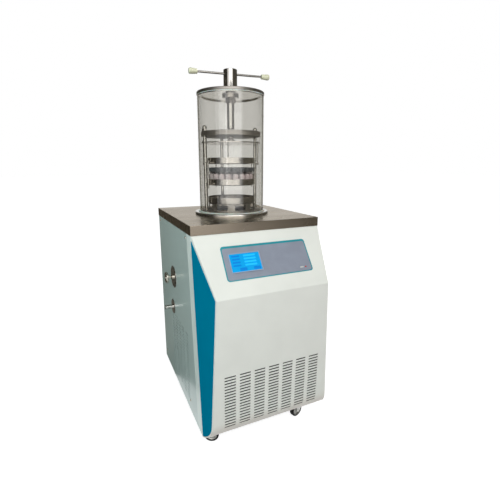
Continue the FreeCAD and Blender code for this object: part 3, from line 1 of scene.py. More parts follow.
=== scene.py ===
import json
import math
import bmesh
import bpy
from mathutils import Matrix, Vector


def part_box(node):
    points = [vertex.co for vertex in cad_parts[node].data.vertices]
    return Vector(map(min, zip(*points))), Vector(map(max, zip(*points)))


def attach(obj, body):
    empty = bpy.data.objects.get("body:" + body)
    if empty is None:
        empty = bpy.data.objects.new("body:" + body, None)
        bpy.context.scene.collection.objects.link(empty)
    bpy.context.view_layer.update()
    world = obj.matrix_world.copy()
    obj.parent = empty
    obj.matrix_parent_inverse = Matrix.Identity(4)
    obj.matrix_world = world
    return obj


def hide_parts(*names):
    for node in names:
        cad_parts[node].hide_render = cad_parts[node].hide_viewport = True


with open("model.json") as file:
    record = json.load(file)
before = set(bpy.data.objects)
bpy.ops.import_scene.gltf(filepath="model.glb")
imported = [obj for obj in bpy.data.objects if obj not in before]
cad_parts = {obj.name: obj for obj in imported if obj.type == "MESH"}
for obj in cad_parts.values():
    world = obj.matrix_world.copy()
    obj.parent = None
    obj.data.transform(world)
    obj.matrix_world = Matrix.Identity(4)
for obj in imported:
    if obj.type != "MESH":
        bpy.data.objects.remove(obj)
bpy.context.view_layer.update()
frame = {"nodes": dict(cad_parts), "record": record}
nodes = frame["nodes"]

MM = 0.001
UP = Vector((0, 0, 1))
RIGHT = Vector((1, 0, 0))
LEFT = -RIGHT
BACK = Vector((0, 1, 0))

# Places that the rest is worked out from
jar_low, jar_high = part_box("chamber_jar")
left_low, left_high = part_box("side_panel_left")
right_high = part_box("side_panel_right")[1]
rear_low, rear_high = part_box("rear_panel")
axis = Vector(((jar_low.x + jar_high.x) / 2, (jar_low.y + jar_high.y) / 2, 0))
castors = [name.removeprefix("castor_wheel_") for name in nodes if name.startswith("castor_wheel_")]
joints = {joint["name"]: joint for joint in frame["record"]["behaviour"]["joints"]}


# ------------------------------------------------------------------------------------------------
# Helpers for materials
# ------------------------------------------------------------------------------------------------


def colour(hex_code, gain=1.0):
    """An sRGB hex value as a linear colour, made darker or lighter by gain."""
    parts = [byte / 255 for byte in bytes.fromhex(hex_code)]
    linear = [p / 12.92 if p <= 0.04045 else ((p + 0.055) / 1.055) ** 2.4 for p in parts]
    return (*(min(1.0, p * gain) for p in linear), 1.0)


def add(tree, kind, inputs=(), out=0, stops=(), **settings):
    """Adds a shader node with its settings and gives one of its outputs.

    Inputs are values or links, by socket name or in order. Stops are those of a colour ramp."""
    made = tree.nodes.new("ShaderNode" + kind)
    for name, value in settings.items():
        setattr(made, name, value)
    named = inputs if isinstance(inputs, dict) else dict(enumerate(inputs))
    for name, value in named.items():
        if isinstance(value, bpy.types.NodeSocket):
            tree.links.new(value, made.inputs[name])
        else:
            made.inputs[name].default_value = value
    if stops:
        elements = made.color_ramp.elements
        for _ in stops[2:]:
            elements.new(0.5)
        for element, (place, shade) in zip(elements, stops):
            element.position = place
            element.color = shade if isinstance(shade, tuple) else (shade, shade, shade, 1)
    return made.outputs[out] if made.outputs else None


def start(name):
    """A new material with an empty node tree, and its place in the frame in metres."""
    made = bpy.data.materials.new(name)
    made.use_nodes = True
    tree = made.node_tree
    tree.nodes.clear()
    return made, tree, add(tree, "TexCoord", out="Object")


def finish(made, tree, shader):
    add(tree, "OutputMaterial", {"Surface": shader})
    return made


def grain(tree, place, size, stretch=(1, 1, 1), detail=2.0):
    """Noise with grains of one size in metres, drawn out along an axis by its stretch."""
    scale = tuple(1 / (size * s) for s in stretch)
    scaled = add(tree, "Mapping", {"Vector": place, "Scale": scale})
    return add(tree, "TexNoise", {"Vector": scaled, "Scale": 1.0, "Detail": detail}, out="Fac")


def tones(hex_code, spread=0.04):
    """Ramp stops a little darker and lighter than a colour."""
    return [(0.35, colour(hex_code, 1 - spread)), (0.65, colour(hex_code, 1 + spread))]


def rough(middle, spread):
    """Ramp stops for a roughness that varies round its middle."""
    return [(0.3, middle - spread), (0.7, middle + spread)]


def relief(tree, height, depth, edge=None):
    """A surface relief of a depth in metres, over rounded edges where edge is their radius."""
    inputs = {"Height": height, "Distance": depth, "Strength": 1.0}
    if edge:
        inputs["Normal"] = add(tree, "Bevel", {"Radius": edge}, samples=4)
    return add(tree, "Bump", inputs)


def along(tree, place, direction, origin=(0, 0, 0)):
    """Distance in metres from an origin along a direction."""
    offset = add(tree, "VectorMath", (place, tuple(origin)), operation="SUBTRACT")
    return add(tree, "VectorMath", (offset, tuple(direction)), out="Value", operation="DOT_PRODUCT")


def from_axis(tree, place):
    """Distance in metres from the chamber's upright axis."""
    offset = add(tree, "VectorMath", (place, tuple(axis)), operation="SUBTRACT")
    flat = add(tree, "VectorMath", (offset, (1, 1, 0)), operation="MULTIPLY")
    return add(tree, "VectorMath", (flat,), out="Value", operation="LENGTH")


def waves(tree, distance, pitch):
    """Ups and downs between -1 and 1 along a distance, one to a pitch."""
    phase = add(tree, "Math", (distance, 2 * math.pi / pitch), operation="MULTIPLY")
    return add(tree, "Math", (phase,), operation="SINE")


def facing_up(tree):
    """How far the surface faces up, from -1 to 1."""
    normal = add(tree, "NewGeometry", out="Normal")
    return add(tree, "SeparateXYZ", (normal,), out="Z")


def let_light_through(tree, wall, tint):
    """A clear wall that light for shadows and fill passes straight through, tinted a little."""
    through = add(tree, "BsdfTransparent", {"Color": colour(tint)})
    ray = add(tree, "LightPath").node.outputs
    unseen = add(tree, "Math", (ray["Is Shadow Ray"], ray["Is Diffuse Ray"]), operation="MAXIMUM")
    return add(tree, "MixShader", (unseen, wall, through))


def seen_by_eye(tree):
    """1 for the eye, straight, in reflections or through glass, and 0 for what gives light."""
    ray = add(tree, "LightPath").node.outputs
    seen = add(tree, "Math", (ray["Is Camera Ray"], ray["Is Glossy Ray"]), operation="MAXIMUM")
    return add(tree, "Math", (seen, ray["Is Transmission Ray"]), operation="MAXIMUM")


# ------------------------------------------------------------------------------------------------
# Materials
# ------------------------------------------------------------------------------------------------


def powder_coat(name, hex_code, roughness, gloss, sheen=0.5, foot=None, margin=0.0):
    """Powder coat on steel sheet, sprayed and baked: an even film with a faint, wide orange peel.

    sheen is the specular level of the film, and foot the warm tone painted in towards the floor,
    as a painted bounce of warm light from the floor. A margin is the width of a side panel's front
    edge whose shading is tilted outwards by a few degrees, so that it catches more of the light
    from the front, and whose colour is lightened there as a painted highlight."""
    made, tree, place = start(name)
    mottle = grain(tree, place, 90 * MM)
    peel = grain(tree, place, 9 * MM)  # a real peel is finer, about 2 mm
    height = add(tree, "Math", (peel, 0.03 * MM), operation="MULTIPLY")
    shade = add(tree, "ValToRGB", (mottle,), stops=tones(hex_code, 0.02))
    if margin:
        run_back = 62 / 635.5  # of a side panel's slanted front edge, for its rise
        fold_slope = 0.5
        painted_highlight = 0.6
        across = Vector((0, 1, -run_back)).normalized()
        behind = along(tree, place, across, (0, left_low.y, left_low.z))
        fold = add(tree, "Math", (behind, 0.0), operation="MAXIMUM")
        fold = add(tree, "Math", (fold, margin), operation="MINIMUM")
        height = add(tree, "Math", (fold, fold_slope, height), operation="MULTIPLY_ADD")
        # Within the margin the colour is mixed towards a near white: a painted highlight on the
        # front edge.
        within = add(tree, "Math", (behind, margin), operation="LESS_THAN")
        painted_highlight_mask = add(tree, "Math", (within, painted_highlight), operation="MULTIPLY")
        painted_highlight_mix = {0: painted_highlight_mask, 6: shade, 7: colour("F6F8F5")}
        shade = add(tree, "Mix", painted_highlight_mix, out=2, data_type="RGBA")
    # A warm tone painted in towards the floor: a painted bounce of light from the floor.
    if foot:
        bounce_reach = 90 * MM  # how high the painted bounce reaches
        uneven = 40 * MM
        rise = along(tree, place, UP, (0, 0, left_low.z))
        rise = add(tree, "Math", (mottle, uneven, rise), operation="MULTIPLY_ADD")
        painted_bounce = add(tree, "ValToRGB", (rise,), stops=[(0.0, 1.0), (bounce_reach, 0.0)])
        painted_bounce_mix = {0: painted_bounce, 6: shade, 7: colour(foot)}
        shade = add(tree, "Mix", painted_bounce_mix, out=2, data_type="RGBA")
    shader = add(tree, "BsdfPrincipled", {
        "Base Color": shade,
        "Roughness": add(tree, "ValToRGB", (mottle,), stops=rough(roughness, 0.03)),
        "Specular IOR Level": sheen,
        "Coat Weight": gloss,
        "Coat Roughness": 0.12,
        "Normal": relief(tree, height, 1.0, edge=1.2 * MM),
    })
    return finish(made, tree, shader)


def brushed_sheet(name, hex_code, painted_lit_top_code, direction):
    """Stainless sheet with a brushed grain: fine lines along one axis that streak its reflections.

    Its top is painted brighter than its folded edges: painted light on the top and painted shade on
    the edges."""
    made, tree, place = start(name)
    stretch = tuple(1 + 60 * abs(d) for d in direction)
    lines = grain(tree, place, 1.6 * MM, stretch, 3.0)  # real grit lines are about 0.1 mm wide
    clouds = grain(tree, place, 70 * MM, tuple(1 + 3 * abs(d) for d in direction))
    # Faces that look up take the lighter tone and the folded edges the darker one: painted light
    # and shade.
    painted_top_mask = add(tree, "Math", (facing_up(tree), 0.7), operation="GREATER_THAN")
    streak = add(tree, "Math", (lines, 0.5), operation="MULTIPLY")
    edges = add(tree, "ValToRGB", (streak,), stops=tones(hex_code, 0.10))
    top = add(tree, "ValToRGB", (streak,), stops=tones(painted_lit_top_code, 0.10))
    shader = add(tree, "BsdfPrincipled", {
        "Base Color": add(tree, "Mix", {0: painted_top_mask, 6: edges, 7: top}, out=2, data_type="RGBA"),
        "Metallic": 1.0,
        "Roughness": add(tree, "ValToRGB", (clouds,), stops=rough(0.27, 0.05)),
        "Specular Tint": colour("DAD4CC"),  # the grain darkens the sheet where the eye skims it
        "Normal": relief(tree, lines, 0.03 * MM, edge=1.0 * MM),
    })
    return finish(made, tree, shader)


def polished_steel(name, hex_code, roughness=0.09):
    """Polished stainless steel: mirror-bright, with soft smudges left by hands and wiping."""
    made, tree, place = start(name)
    smudge = grain(tree, place, 25 * MM, detail=4.0)
    shader = add(tree, "BsdfPrincipled", {
        "Base Color": add(tree, "ValToRGB", (smudge,), stops=tones(hex_code, 0.05)),
        "Metallic": 1.0,
        "Roughness": add(tree, "ValToRGB", (smudge,), stops=rough(roughness, 0.035)),
        "Normal": add(tree, "Bevel", {"Radius": 0.4 * MM}, samples=4),
    })
    return finish(made, tree, shader)


def turned_steel(name, hex_code, roughness=0.2):
    """Stainless steel faced on a lathe: rings round the chamber axis catch the light in arcs."""
    made, tree, place = start(name)
    rings = waves(tree, from_axis(tree, place), 1.5 * MM)  # a real feed is about 0.2 mm a turn
    wear = grain(tree, place, 18 * MM)
    shader = add(tree, "BsdfPrincipled", {
        "Base Color": add(tree, "ValToRGB", (wear,), stops=tones(hex_code, 0.05)),
        "Metallic": 1.0,
        "Roughness": add(tree, "ValToRGB", (wear,), stops=rough(roughness, 0.05)),
        "Normal": relief(tree, rings, 0.008 * MM, edge=0.5 * MM),
    })
    return finish(made, tree, shader)


def lid_steel(name, hex_code, painted_bright_inner_code):
    """Stainless lid: satin-ground over its top and rim, and left smoother inside, where its colour
    is also painted much brighter, a painted reflection that lightens its inner skirt.
    """
    made, tree, place = start(name)
    wear = grain(tree, place, 18 * MM)
    low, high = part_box("lid")
    rim = (high.x - low.x) / 2 - 0.8 * MM
    inner = add(tree, "Math", (from_axis(tree, place), rim), operation="LESS_THAN")
    lower = add(tree, "Math", (facing_up(tree), 0.5), operation="LESS_THAN")
    inside = add(tree, "Math", (inner, lower), operation="MULTIPLY")
    ground = add(tree, "ValToRGB", (wear,), stops=tones(hex_code, 0.05))
    # The inside takes a far brighter colour than the ground top: a painted reflection, besides its
    # smoother polish.
    ground_and_painted_inner = {0: inside, 6: ground, 7: colour(painted_bright_inner_code)}
    satin = add(tree, "ValToRGB", (wear,), stops=rough(0.42, 0.05))
    share = add(tree, "Math", (inside, -0.6, 1.0), operation="MULTIPLY_ADD")
    shader = add(tree, "BsdfPrincipled", {
        "Base Color": add(tree, "Mix", ground_and_painted_inner, out=2, data_type="RGBA"),
        "Metallic": 1.0,
        "Roughness": add(tree, "Math", (satin, share), operation="MULTIPLY"),
        "Normal": add(tree, "Bevel", {"Radius": 2.5 * MM}, samples=4),
    })
    return finish(made, tree, shader)


def plated_steel(name, hex_code, roughness):
    """Zinc or nickel plate over pressed or cast metal: a bright skin with an uneven gloss."""
    made, tree, place = start(name)
    clouds = grain(tree, place, 6 * MM, detail=4.0)
    shader = add(tree, "BsdfPrincipled", {
        "Base Color": add(tree, "ValToRGB", (clouds,), stops=tones(hex_code, 0.12)),
        "Metallic": 1.0,
        "Roughness": add(tree, "ValToRGB", (clouds,), stops=rough(roughness, 0.07)),
        "Normal": relief(tree, clouds, 0.05 * MM, edge=0.4 * MM),
    })
    return finish(made, tree, shader)


def clear_acrylic(name):
    """Cast acrylic tube, polished clear: it bends what is behind it and greys along its wall.

    The grey is painted a shade lighter where the eye looks along the wall: a painted highlight
    along its edges."""
    made, tree, place = start(name)
    haze = grain(tree, place, 40 * MM, (1, 1, 4))
    facing = add(tree, "LayerWeight", {"Blend": 0.5}, out="Facing")
    depth = add(tree, "Math", (haze, 0.04, facing), operation="MULTIPLY_ADD")
    # DFDEDA face-on to E4E3DF edge-on: the lighter grey at the edges is painted light.
    greys = [(0.1, colour("DFDEDA")), (0.98, colour("E4E3DF"))]
    wall = add(tree, "BsdfPrincipled", {
        "Base Color": add(tree, "ValToRGB", (depth,), stops=greys),
        "Roughness": add(tree, "ValToRGB", (haze,), stops=[(0.4, 0.0), (0.8, 0.03)]),
        "IOR": 1.49,
        "Transmission Weight": 1.0,
    })
    return finish(made, tree, let_light_through(tree, wall, "F8F7F6"))


def vial_glass(name):
    """Thin tubular glass, slightly uneven, with a faint residue that mists it."""
    made, tree, place = start(name)
    wave = grain(tree, place, 12 * MM)
    wall = add(tree, "BsdfPrincipled", {
        "Base Color": add(tree, "ValToRGB", (wave,), stops=tones("FAF7F7", 0.02)),
        "Roughness": add(tree, "ValToRGB", (wave,), stops=[(0.3, 0.02), (0.8, 0.15)]),
        "IOR": 1.3,  # thin walls bend less than the solid that stands for them here
        "Transmission Weight": 1.0,
        "Normal": relief(tree, wave, 0.2 * MM),
    })
    return finish(made, tree, let_light_through(tree, wall, "FBF9F9"))


def porous(name, hex_code, size):
    """A matt, porous body, a freeze-dried cake or a filter foam: a little darker in its pores."""
    made, tree, place = start(name)
    pores = grain(tree, place, size, detail=4.0)
    shader = add(tree, "BsdfPrincipled", {
        "Base Color": add(tree, "ValToRGB", (pores,), stops=tones(hex_code, 0.12)),
        "Roughness": add(tree, "ValToRGB", (pores,), stops=rough(0.9, 0.05)),
        "Specular IOR Level": 0.1,
        "Normal": relief(tree, pores, 0.3 * MM),
    })
    return finish(made, tree, shader)


def rubber(name, hex_code, roughness):
    """Moulded rubber: matt, with a bloom that dulls its shine and lightens it in patches."""
    made, tree, place = start(name)
    bloom = grain(tree, place, 5 * MM, detail=4.0)
    shader = add(tree, "BsdfPrincipled", {
        "Base Color": add(tree, "ValToRGB", (bloom,), stops=tones(hex_code, 0.15)),
        "Roughness": add(tree, "ValToRGB", (bloom,), stops=rough(roughness, 0.08)),
        "Specular IOR Level": 0.12,
        "Normal": relief(tree, bloom, 0.05 * MM, edge=0.5 * MM),
    })
    return finish(made, tree, shader)


def silicone(name, hex_code):
    """Translucent silicone rubber: light sinks in and comes back softly."""
    made, tree, place = start(name)
    cloud = grain(tree, place, 15 * MM)
    shader = add(tree, "BsdfPrincipled", {
        "Base Color": add(tree, "ValToRGB", (cloud,), stops=tones(hex_code)),
        "Roughness": add(tree, "ValToRGB", (cloud,), stops=rough(0.35, 0.05)),
        "Subsurface Weight": 0.3,
        "Subsurface Scale": 2 * MM,
    })
    return finish(made, tree, shader)


def moulded_plastic(name, hex_code, roughness):
    """Injection-moulded ABS: an even colour with a fine spark-eroded texture."""
    made, tree, place = start(name)
    texture = grain(tree, place, 1.2 * MM)
    patch = grain(tree, place, 20 * MM)
    shader = add(tree, "BsdfPrincipled", {
        "Base Color": add(tree, "ValToRGB", (patch,), stops=tones(hex_code)),
        "Roughness": add(tree, "ValToRGB", (patch,), stops=rough(roughness, 0.04)),
        "Normal": relief(tree, texture, 0.02 * MM, edge=0.5 * MM),
    })
    return finish(made, tree, shader)


def condenser_fins(name):
    """Aluminium fins on a 2.5 mm pitch, dulled by dust: painted highlights on their thin edges over
    painted shade in the gaps.
    """
    made, tree, place = start(name)
    fin = waves(tree, along(tree, place, RIGHT), 2.5 * MM)
    dust = grain(tree, place, 30 * MM)
    # Near black in the gaps and grey on the fin edges: painted shade and painted highlight.
    painted_gap_shade_and_edge_light = [(0.0, colour("15171A")), (1.0, colour("565A5C"))]
    shader = add(tree, "BsdfPrincipled", {
        "Base Color": add(tree, "ValToRGB", (fin,), stops=painted_gap_shade_and_edge_light),
        "Metallic": 0.4,
        "Roughness": add(tree, "ValToRGB", (dust,), stops=rough(0.6, 0.1)),
        "Normal": relief(tree, fin, 0.5 * MM),
    })
    return finish(made, tree, shader)


def lit_display(name, hex_code, glow):
    """Back-lit display colour under a smooth film: it glows evenly, less between its rows."""
    made, tree, place = start(name)
    rows = waves(tree, along(tree, place, UP), 3 * MM)  # real rows are about 0.2 mm apart
    shade = add(tree, "ValToRGB", (rows,), stops=tones(hex_code, 0.03))
    shader = add(tree, "BsdfPrincipled", {
        "Base Color": shade,
        "Roughness": 0.18,
        "Emission Color": shade,
        "Emission Strength": glow,
    })
    return finish(made, tree, shader)


def screen_frame():
    """Centre, upward and outward directions of the touch screen's lit face."""
    mesh = nodes["touch_screen"].data
    sloped = [face for face in mesh.polygons if face.normal.y < -0.1 and face.normal.z > 0.1]
    outward = max(sloped, key=lambda face: face.area).normal
    upward = outward.cross(RIGHT)
    spots = [(v.co.x, v.co.dot(upward), v.co.dot(outward)) for v in mesh.vertices]
    middle = [(min(s) + max(s)) / 2 for s in zip(*spots)]
    face = max(s[2] for s in spots)
    return RIGHT * middle[0] + upward * middle[1] + outward * face, upward, outward


def inside_rounded(tree, side, rise, half_wide, half_tall, corner):
    """1 inside a rounded rectangle about the origin of side and rise, 0 outside it."""
    past_side = add(tree, "Math", (side, half_wide - corner), operation="SUBTRACT")
    past_side = add(tree, "Math", (past_side, 0.0), operation="MAXIMUM")
    past_rise = add(tree, "Math", (rise, half_tall - corner), operation="SUBTRACT")
    past_rise = add(tree, "Math", (past_rise, 0.0), operation="MAXIMUM")
    square = add(tree, "Math", (past_rise, past_rise), operation="MULTIPLY")
    reach = add(tree, "Math", (past_side, past_side, square), operation="MULTIPLY_ADD")
    return add(tree, "Math", (reach, corner ** 2), operation="LESS_THAN")


def printed_overlay(name, screen_up):
    """Polyester overlay printed from behind: a grey field in a teal border, deeper at its top."""
    made, tree, place = start(name)
    low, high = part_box("control_overlay")
    middle = (low + high) / 2
    side_border, end_border, drop, corner = 3.5 * MM, 5.5 * MM, 2 * MM, 7 * MM
    half_wide = (high.x - low.x) / 2 - side_border
    half_tall = (high - low).dot(Vector((0, screen_up.y, screen_up.z))) / 2 - end_border
    side = add(tree, "Math", (along(tree, place, RIGHT, middle),), operation="ABSOLUTE")
    rise = along(tree, place, screen_up, middle - screen_up * drop)
    rise = add(tree, "Math", (rise,), operation="ABSOLUTE")
    within = inside_rounded(tree, side, rise, half_wide, half_tall, corner)
    weave = grain(tree, place, 30 * MM)
    field = add(tree, "ValToRGB", (weave,), stops=tones("8C92A1"))
    border = add(tree, "ValToRGB", (weave,), stops=tones("008E9C", 0.06))
    shader = add(tree, "BsdfPrincipled", {
        "Base Color": add(tree, "Mix", {0: within, 6: border, 7: field}, out=2, data_type="RGBA"),
        "Roughness": add(tree, "ValToRGB", (weave,), stops=rough(0.38, 0.03)),
        "Coat Weight": 0.2,
        "Coat Roughness": 0.2,
    })
    return finish(made, tree, shader)


screen_centre, screen_up, screen_out = screen_frame()

# Powder and enamel coats
white_coat = powder_coat("white_powder_coat", "E9EAE4", 0.42, 0.15, foot="DECEC2")
rear_coat = powder_coat("rear_powder_coat", "E9EAE4", 0.45, 0.1)
# The side panels' coat is darker and greener than the white coat: partly the sheet's own grey-green
# tint, partly painted shade and a painted green reflection.
side_coat_painted_light = powder_coat("gloss_white_coat_painted_light", "CEDEDD", 0.38, 0.4, margin=48 * MM)
teal_coat = powder_coat("teal_powder_coat", "0080A4", 0.5, 0.0, sheen=0.0)
# The base pan is coloured dark grey so that the grille's slots read dark: painted shade inside the
# cabinet.
pan_painted_shade = powder_coat("dark_grey_painted_shade", "3A3A38", 0.6, 0.0)
black_enamel = powder_coat("black_stove_enamel", "131414", 0.25, 0.6)

# Metals
# 958A7C for the edges is painted shade, and BDB8AE for the top is painted light.
worktop_steel = brushed_sheet("brushed_stainless_sheet", "958A7C", "BDB8AE", RIGHT)
mirror_steel = polished_steel("polished_stainless", "BDBBB6")
tray_steel = polished_steel("spun_stainless", "BEBAB4", 0.2)
rod_steel = polished_steel("drawn_stainless_rod", "BDBBB6", 0.12)
head_steel = polished_steel("bright_turned_stainless", "9B9893")
bar_steel = polished_steel("ground_stainless_bar", "827F7A", 0.2)
ring_steel = polished_steel("satin_stainless_ring", "B5B2AC", 0.2)
lathe_steel = turned_steel("faced_stainless", "BDB8B2")
satin_steel = turned_steel("satin_stainless", "A39F99", 0.5)
# E4E2DE is the painted bright inside of the lid.
cover_steel = lid_steel("ground_stainless", "85817B", "E4E2DE")
nickel_plate = plated_steel("nickel_plated_brass", "C2BDB2", 0.16)
zinc_plate = plated_steel("zinc_plated_steel", "B3B4B0", 0.28)
hub_steel = plated_steel("pressed_steel_hub", "83827E", 0.22)
brass = plated_steel("brass_blade", "C9A75A", 0.25)
fins = condenser_fins("aluminium_fins")

# Clear walls and what stands behind them
acrylic = clear_acrylic("cast_acrylic")
glass = vial_glass("tubular_glass")
cake = porous("freeze_dried_cake", "DED3D5", 1.5 * MM)
foam = porous("filter_foam", "1E1E1C", 3 * MM)

# Rubbers
stopper_rubber = rubber("bromobutyl_rubber", "5E6063", 0.9)
tyre_rubber = rubber("tyre_rubber", "0D0D0E", 0.5)
seal_silicone = silicone("silicone_rubber", "B9BDB6")
gasket_silicone = silicone("pale_silicone_rubber", "E2E3DE")

# Plastics and the display
overlay_film = printed_overlay("printed_polyester", screen_up)
bezel_plastic = moulded_plastic("grey_abs", "9AABC0", 0.35)
ivory_plastic = moulded_plastic("ivory_urea", "DAD9BC", 0.3)
black_plastic = moulded_plastic("black_abs", "17181A", 0.35)
white_lens = moulded_plastic("white_lens", "D2D4D0", 0.2)
red_lens = moulded_plastic("red_lens", "C23A34", 0.2)
display = lit_display("display_blue", "0094D4", 0.35)
display_dark = lit_display("display_deep_blue", "0074C8", 0.38)
display_pale = lit_display("display_pale_blue", "1FB0F4", 0.42)

FINISHES = {
    white_coat: ["front_fairing"],
    rear_coat: ["rear_panel"],
    side_coat_painted_light: ["side_panel_left", "side_panel_right"],
    teal_coat: ["cheek_left", "cheek_right"],
    worktop_steel: ["worktop"],
    mirror_steel: ["cold_trap", "press_spindle", "vacuum_port"],
    tray_steel: ["upper_tray", "middle_tray", "lower_tray"],
    rod_steel: ["rack_columns", "acorn_nuts", "hanger_rods", "link_rods", "rod_nuts"],
    satin_steel: ["top_plate", "rack_base"],
    cover_steel: ["lid"],
    head_steel: ["handle_head", "vent_escutcheon", "port_escutcheon"],
    bar_steel: ["tommy_bar"],
    ring_steel: ["chamber_flange"],
    lathe_steel: ["press_plate", "screw_bush", "gland", "gland_nut", "press_yoke", "press_screw"],
    nickel_plate: ["vent_body", "vent_stem", "vent_knob"],
    zinc_plate: ["castor_plates"] + [f"castor_fork_{tag}" for tag in castors],
    pan_painted_shade: ["base_pan"],
    fins: ["condenser"],
    black_enamel: ["compressor"],
    acrylic: ["chamber_jar"],
    tyre_rubber: [f"castor_wheel_{tag}" for tag in castors],
    seal_silicone: ["ring_seal"],
    gasket_silicone: ["lid_gasket"],
    overlay_film: ["control_overlay"],
    bezel_plastic: ["screen_bezel"],
    ivory_plastic: ["bar_knobs"],
    black_plastic: ["power_inlet", "switch_frame", "power_rocker"],
    white_lens: ["status_lamp"],
    red_lens: ["power_lamp"],
    display: ["touch_screen"],
}
for surface, names in FINISHES.items():
    for name in names:
        nodes[name].data.materials.clear()
        nodes[name].data.materials.append(surface)


# ------------------------------------------------------------------------------------------------
# Helpers for added pieces
# ------------------------------------------------------------------------------------------------

SHARP_EDGE = math.radians(35)


def in_mm(points):
    """Profile points given in millimetres, in metres."""
    return [(radius * MM, rise * MM) for radius, rise in points]


def show(name, data):
    """An object of its data in the scene."""
    made = bpy.data.objects.new(name, data)
    bpy.context.scene.collection.objects.link(made)
    return made


def mesh_data(name, mesh, surface):
    """Mesh data of a finished bmesh, with its material."""
    data = bpy.data.meshes.new(name)
    mesh.to_mesh(data)
    mesh.free()
    data.materials.append(surface)
    return data


def piece(name, mesh, surface, body, replaced=()):
    """Makes an object of a finished bmesh, smooth but for its sharp edges, that rides on a body."""
    bmesh.ops.recalc_face_normals(mesh, faces=mesh.faces)
    data = mesh_data(name, mesh, surface)
    for face in data.polygons:
        face.use_smooth = True
    data.set_sharp_from_angle(angle=SHARP_EDGE)
    made = show(name, data)
    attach(made, body)
    if replaced:
        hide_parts(*replaced)


def lathe(mesh, profile, centre, out=UP, segments=48, radius_at=None):
    """Turns (radius, distance along out) points about a line.

    radius_at gives a factor on the radius for an angle and a radius."""
    turn = out.to_track_quat("Z", "Y")
    rings = []
    for radius, rise in profile:
        if radius == 0:
            rings.append([mesh.verts.new(centre + out * rise)])
            continue
        ring = []
        for i in range(segments):
            angle = 2 * math.pi * i / segments
            reach = radius * (radius_at(angle, radius) if radius_at else 1)
            spot = Vector((reach * math.cos(angle), reach * math.sin(angle), rise))
            ring.append(mesh.verts.new(centre + turn @ spot))
        rings.append(ring)
    for near, far in zip(rings, rings[1:]):
        for i in range(segments):
            k = (i + 1) % segments
            corners = [near[i % len(near)], near[k % len(near)]]
            corners += [far[k % len(far)], far[i % len(far)]]
            unique = list(dict.fromkeys(corners))
            if len(unique) > 2:
                mesh.faces.new(unique)
    return rings


def join_loops(mesh, low, high):
    """Faces between two loops of as many vertices."""
    for i in range(len(low)):
        k = (i + 1) % len(low)
        mesh.faces.new([low[i], low[k], high[k], high[i]])


def hollow_lathe(mesh, profile, centre, out, segments):
    """A lathe whose last ring is joined to its first, for a tube or a wheel with a bore."""
    rings = lathe(mesh, profile, centre, out, segments)
    join_loops(mesh, rings[-1], rings[0])


def plate(mesh, centre, across, upward, wide, tall, thick, corner):
    """A thin plate with rounded corners, given by the middle of its back."""
    out = across.cross(upward)
    corner_steps = 3
    outline = []
    for sx, sy, first in ((1, 1, 0), (-1, 1, 90), (-1, -1, 180), (1, -1, 270)):
        middle = centre + across * sx * (wide / 2 - corner) + upward * sy * (tall / 2 - corner)
        for step in range(corner_steps + 1):
            angle = math.radians(first + 90 / corner_steps * step)
            outline.append(middle + corner * (across * math.cos(angle) + upward * math.sin(angle)))
    low = [mesh.verts.new(spot) for spot in outline]
    high = [mesh.verts.new(spot + out * thick) for spot in outline]
    mesh.faces.new(high)
    mesh.faces.new(low[::-1])
    join_loops(mesh, low, high)


# ------------------------------------------------------------------------------------------------
# Chamber and its rack
# ------------------------------------------------------------------------------------------------


def make_jar():
    """The clear tube, with its polished end faces broken by a small bevel."""
    outer = (jar_high.x - jar_low.x) / 2
    wall = 5 * MM
    bore = outer - wall
    bevel = 0.8 * MM
    foot, top = jar_low.z, jar_high.z
    profile = [
        (bore + bevel, foot), (outer - bevel, foot), (outer, foot + bevel), (outer, top - bevel),
        (outer - bevel, top), (bore + bevel, top), (bore, top - bevel), (bore, foot + bevel),
    ]
    mesh = bmesh.new()
    hollow_lathe(mesh, profile, axis, UP, 192)
    piece("chamber_tube", mesh, acrylic, "chamber", ["chamber_jar"])


def vial_places(floor):
    """Vials stand close together on rings inside the tray; the outermost keeps off its wall."""
    pitch = 24.2 * MM
    off_wall = 2 * MM
    rings = [(0, 1, 0), (pitch, 6, 0), (2 * pitch, 12, 0.5), (3 * pitch - off_wall, 18, 0)]
    for reach, count, shift in rings:
        for i in range(count):
            angle = 2 * math.pi * (i + shift) / count
            yield axis + Vector((reach * math.cos(angle), reach * math.sin(angle), floor))


def make_vials():
    """Serum vials in the middle tray, each with its cake and its stopper half in."""
    tray_floor = 1.6 * MM
    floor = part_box("middle_tray")[0].z + tray_floor
    glass_profile = [
        (0, 0), (10.2, 0), (11.4, 1.4), (11.4, 34), (10.6, 37), (7.4, 39.5), (7.4, 41.5),
        (9.9, 42.3), (9.9, 45.5), (6.3, 45.5), (6.2, 40), (9.3, 36), (10.5, 33), (10.5, 2),
        (0, 1.6),
    ]
    cake_profile = [
        (0, 1.9), (9.6, 2.1), (10.2, 3), (10.2, 33), (9, 35.7), (6.8, 37.6), (5, 37), (0, 36.8),
    ]
    stopper_profile = [
        (0, 43), (5.4, 43), (5.7, 44), (5.7, 46.2), (8.7, 46.4), (9.9, 47), (10.4, 48),
        (10.4, 59.2), (9.6, 60.4), (0, 60.8),
    ]
    parts = (
        ("vials", glass_profile, glass, "clear_acrylic"),
        ("vial_cakes", cake_profile, cake, "ivory_plastic"),
        ("vial_stoppers", stopper_profile, stopper_rubber, "tyre_rubber"),
    )
    for name, profile, surface, slot in parts:
        mesh = bmesh.new()
        for spot in vial_places(floor):
            lathe(mesh, in_mm(profile), spot, segments=28)
        piece(name, mesh, surface, "press_carriage")


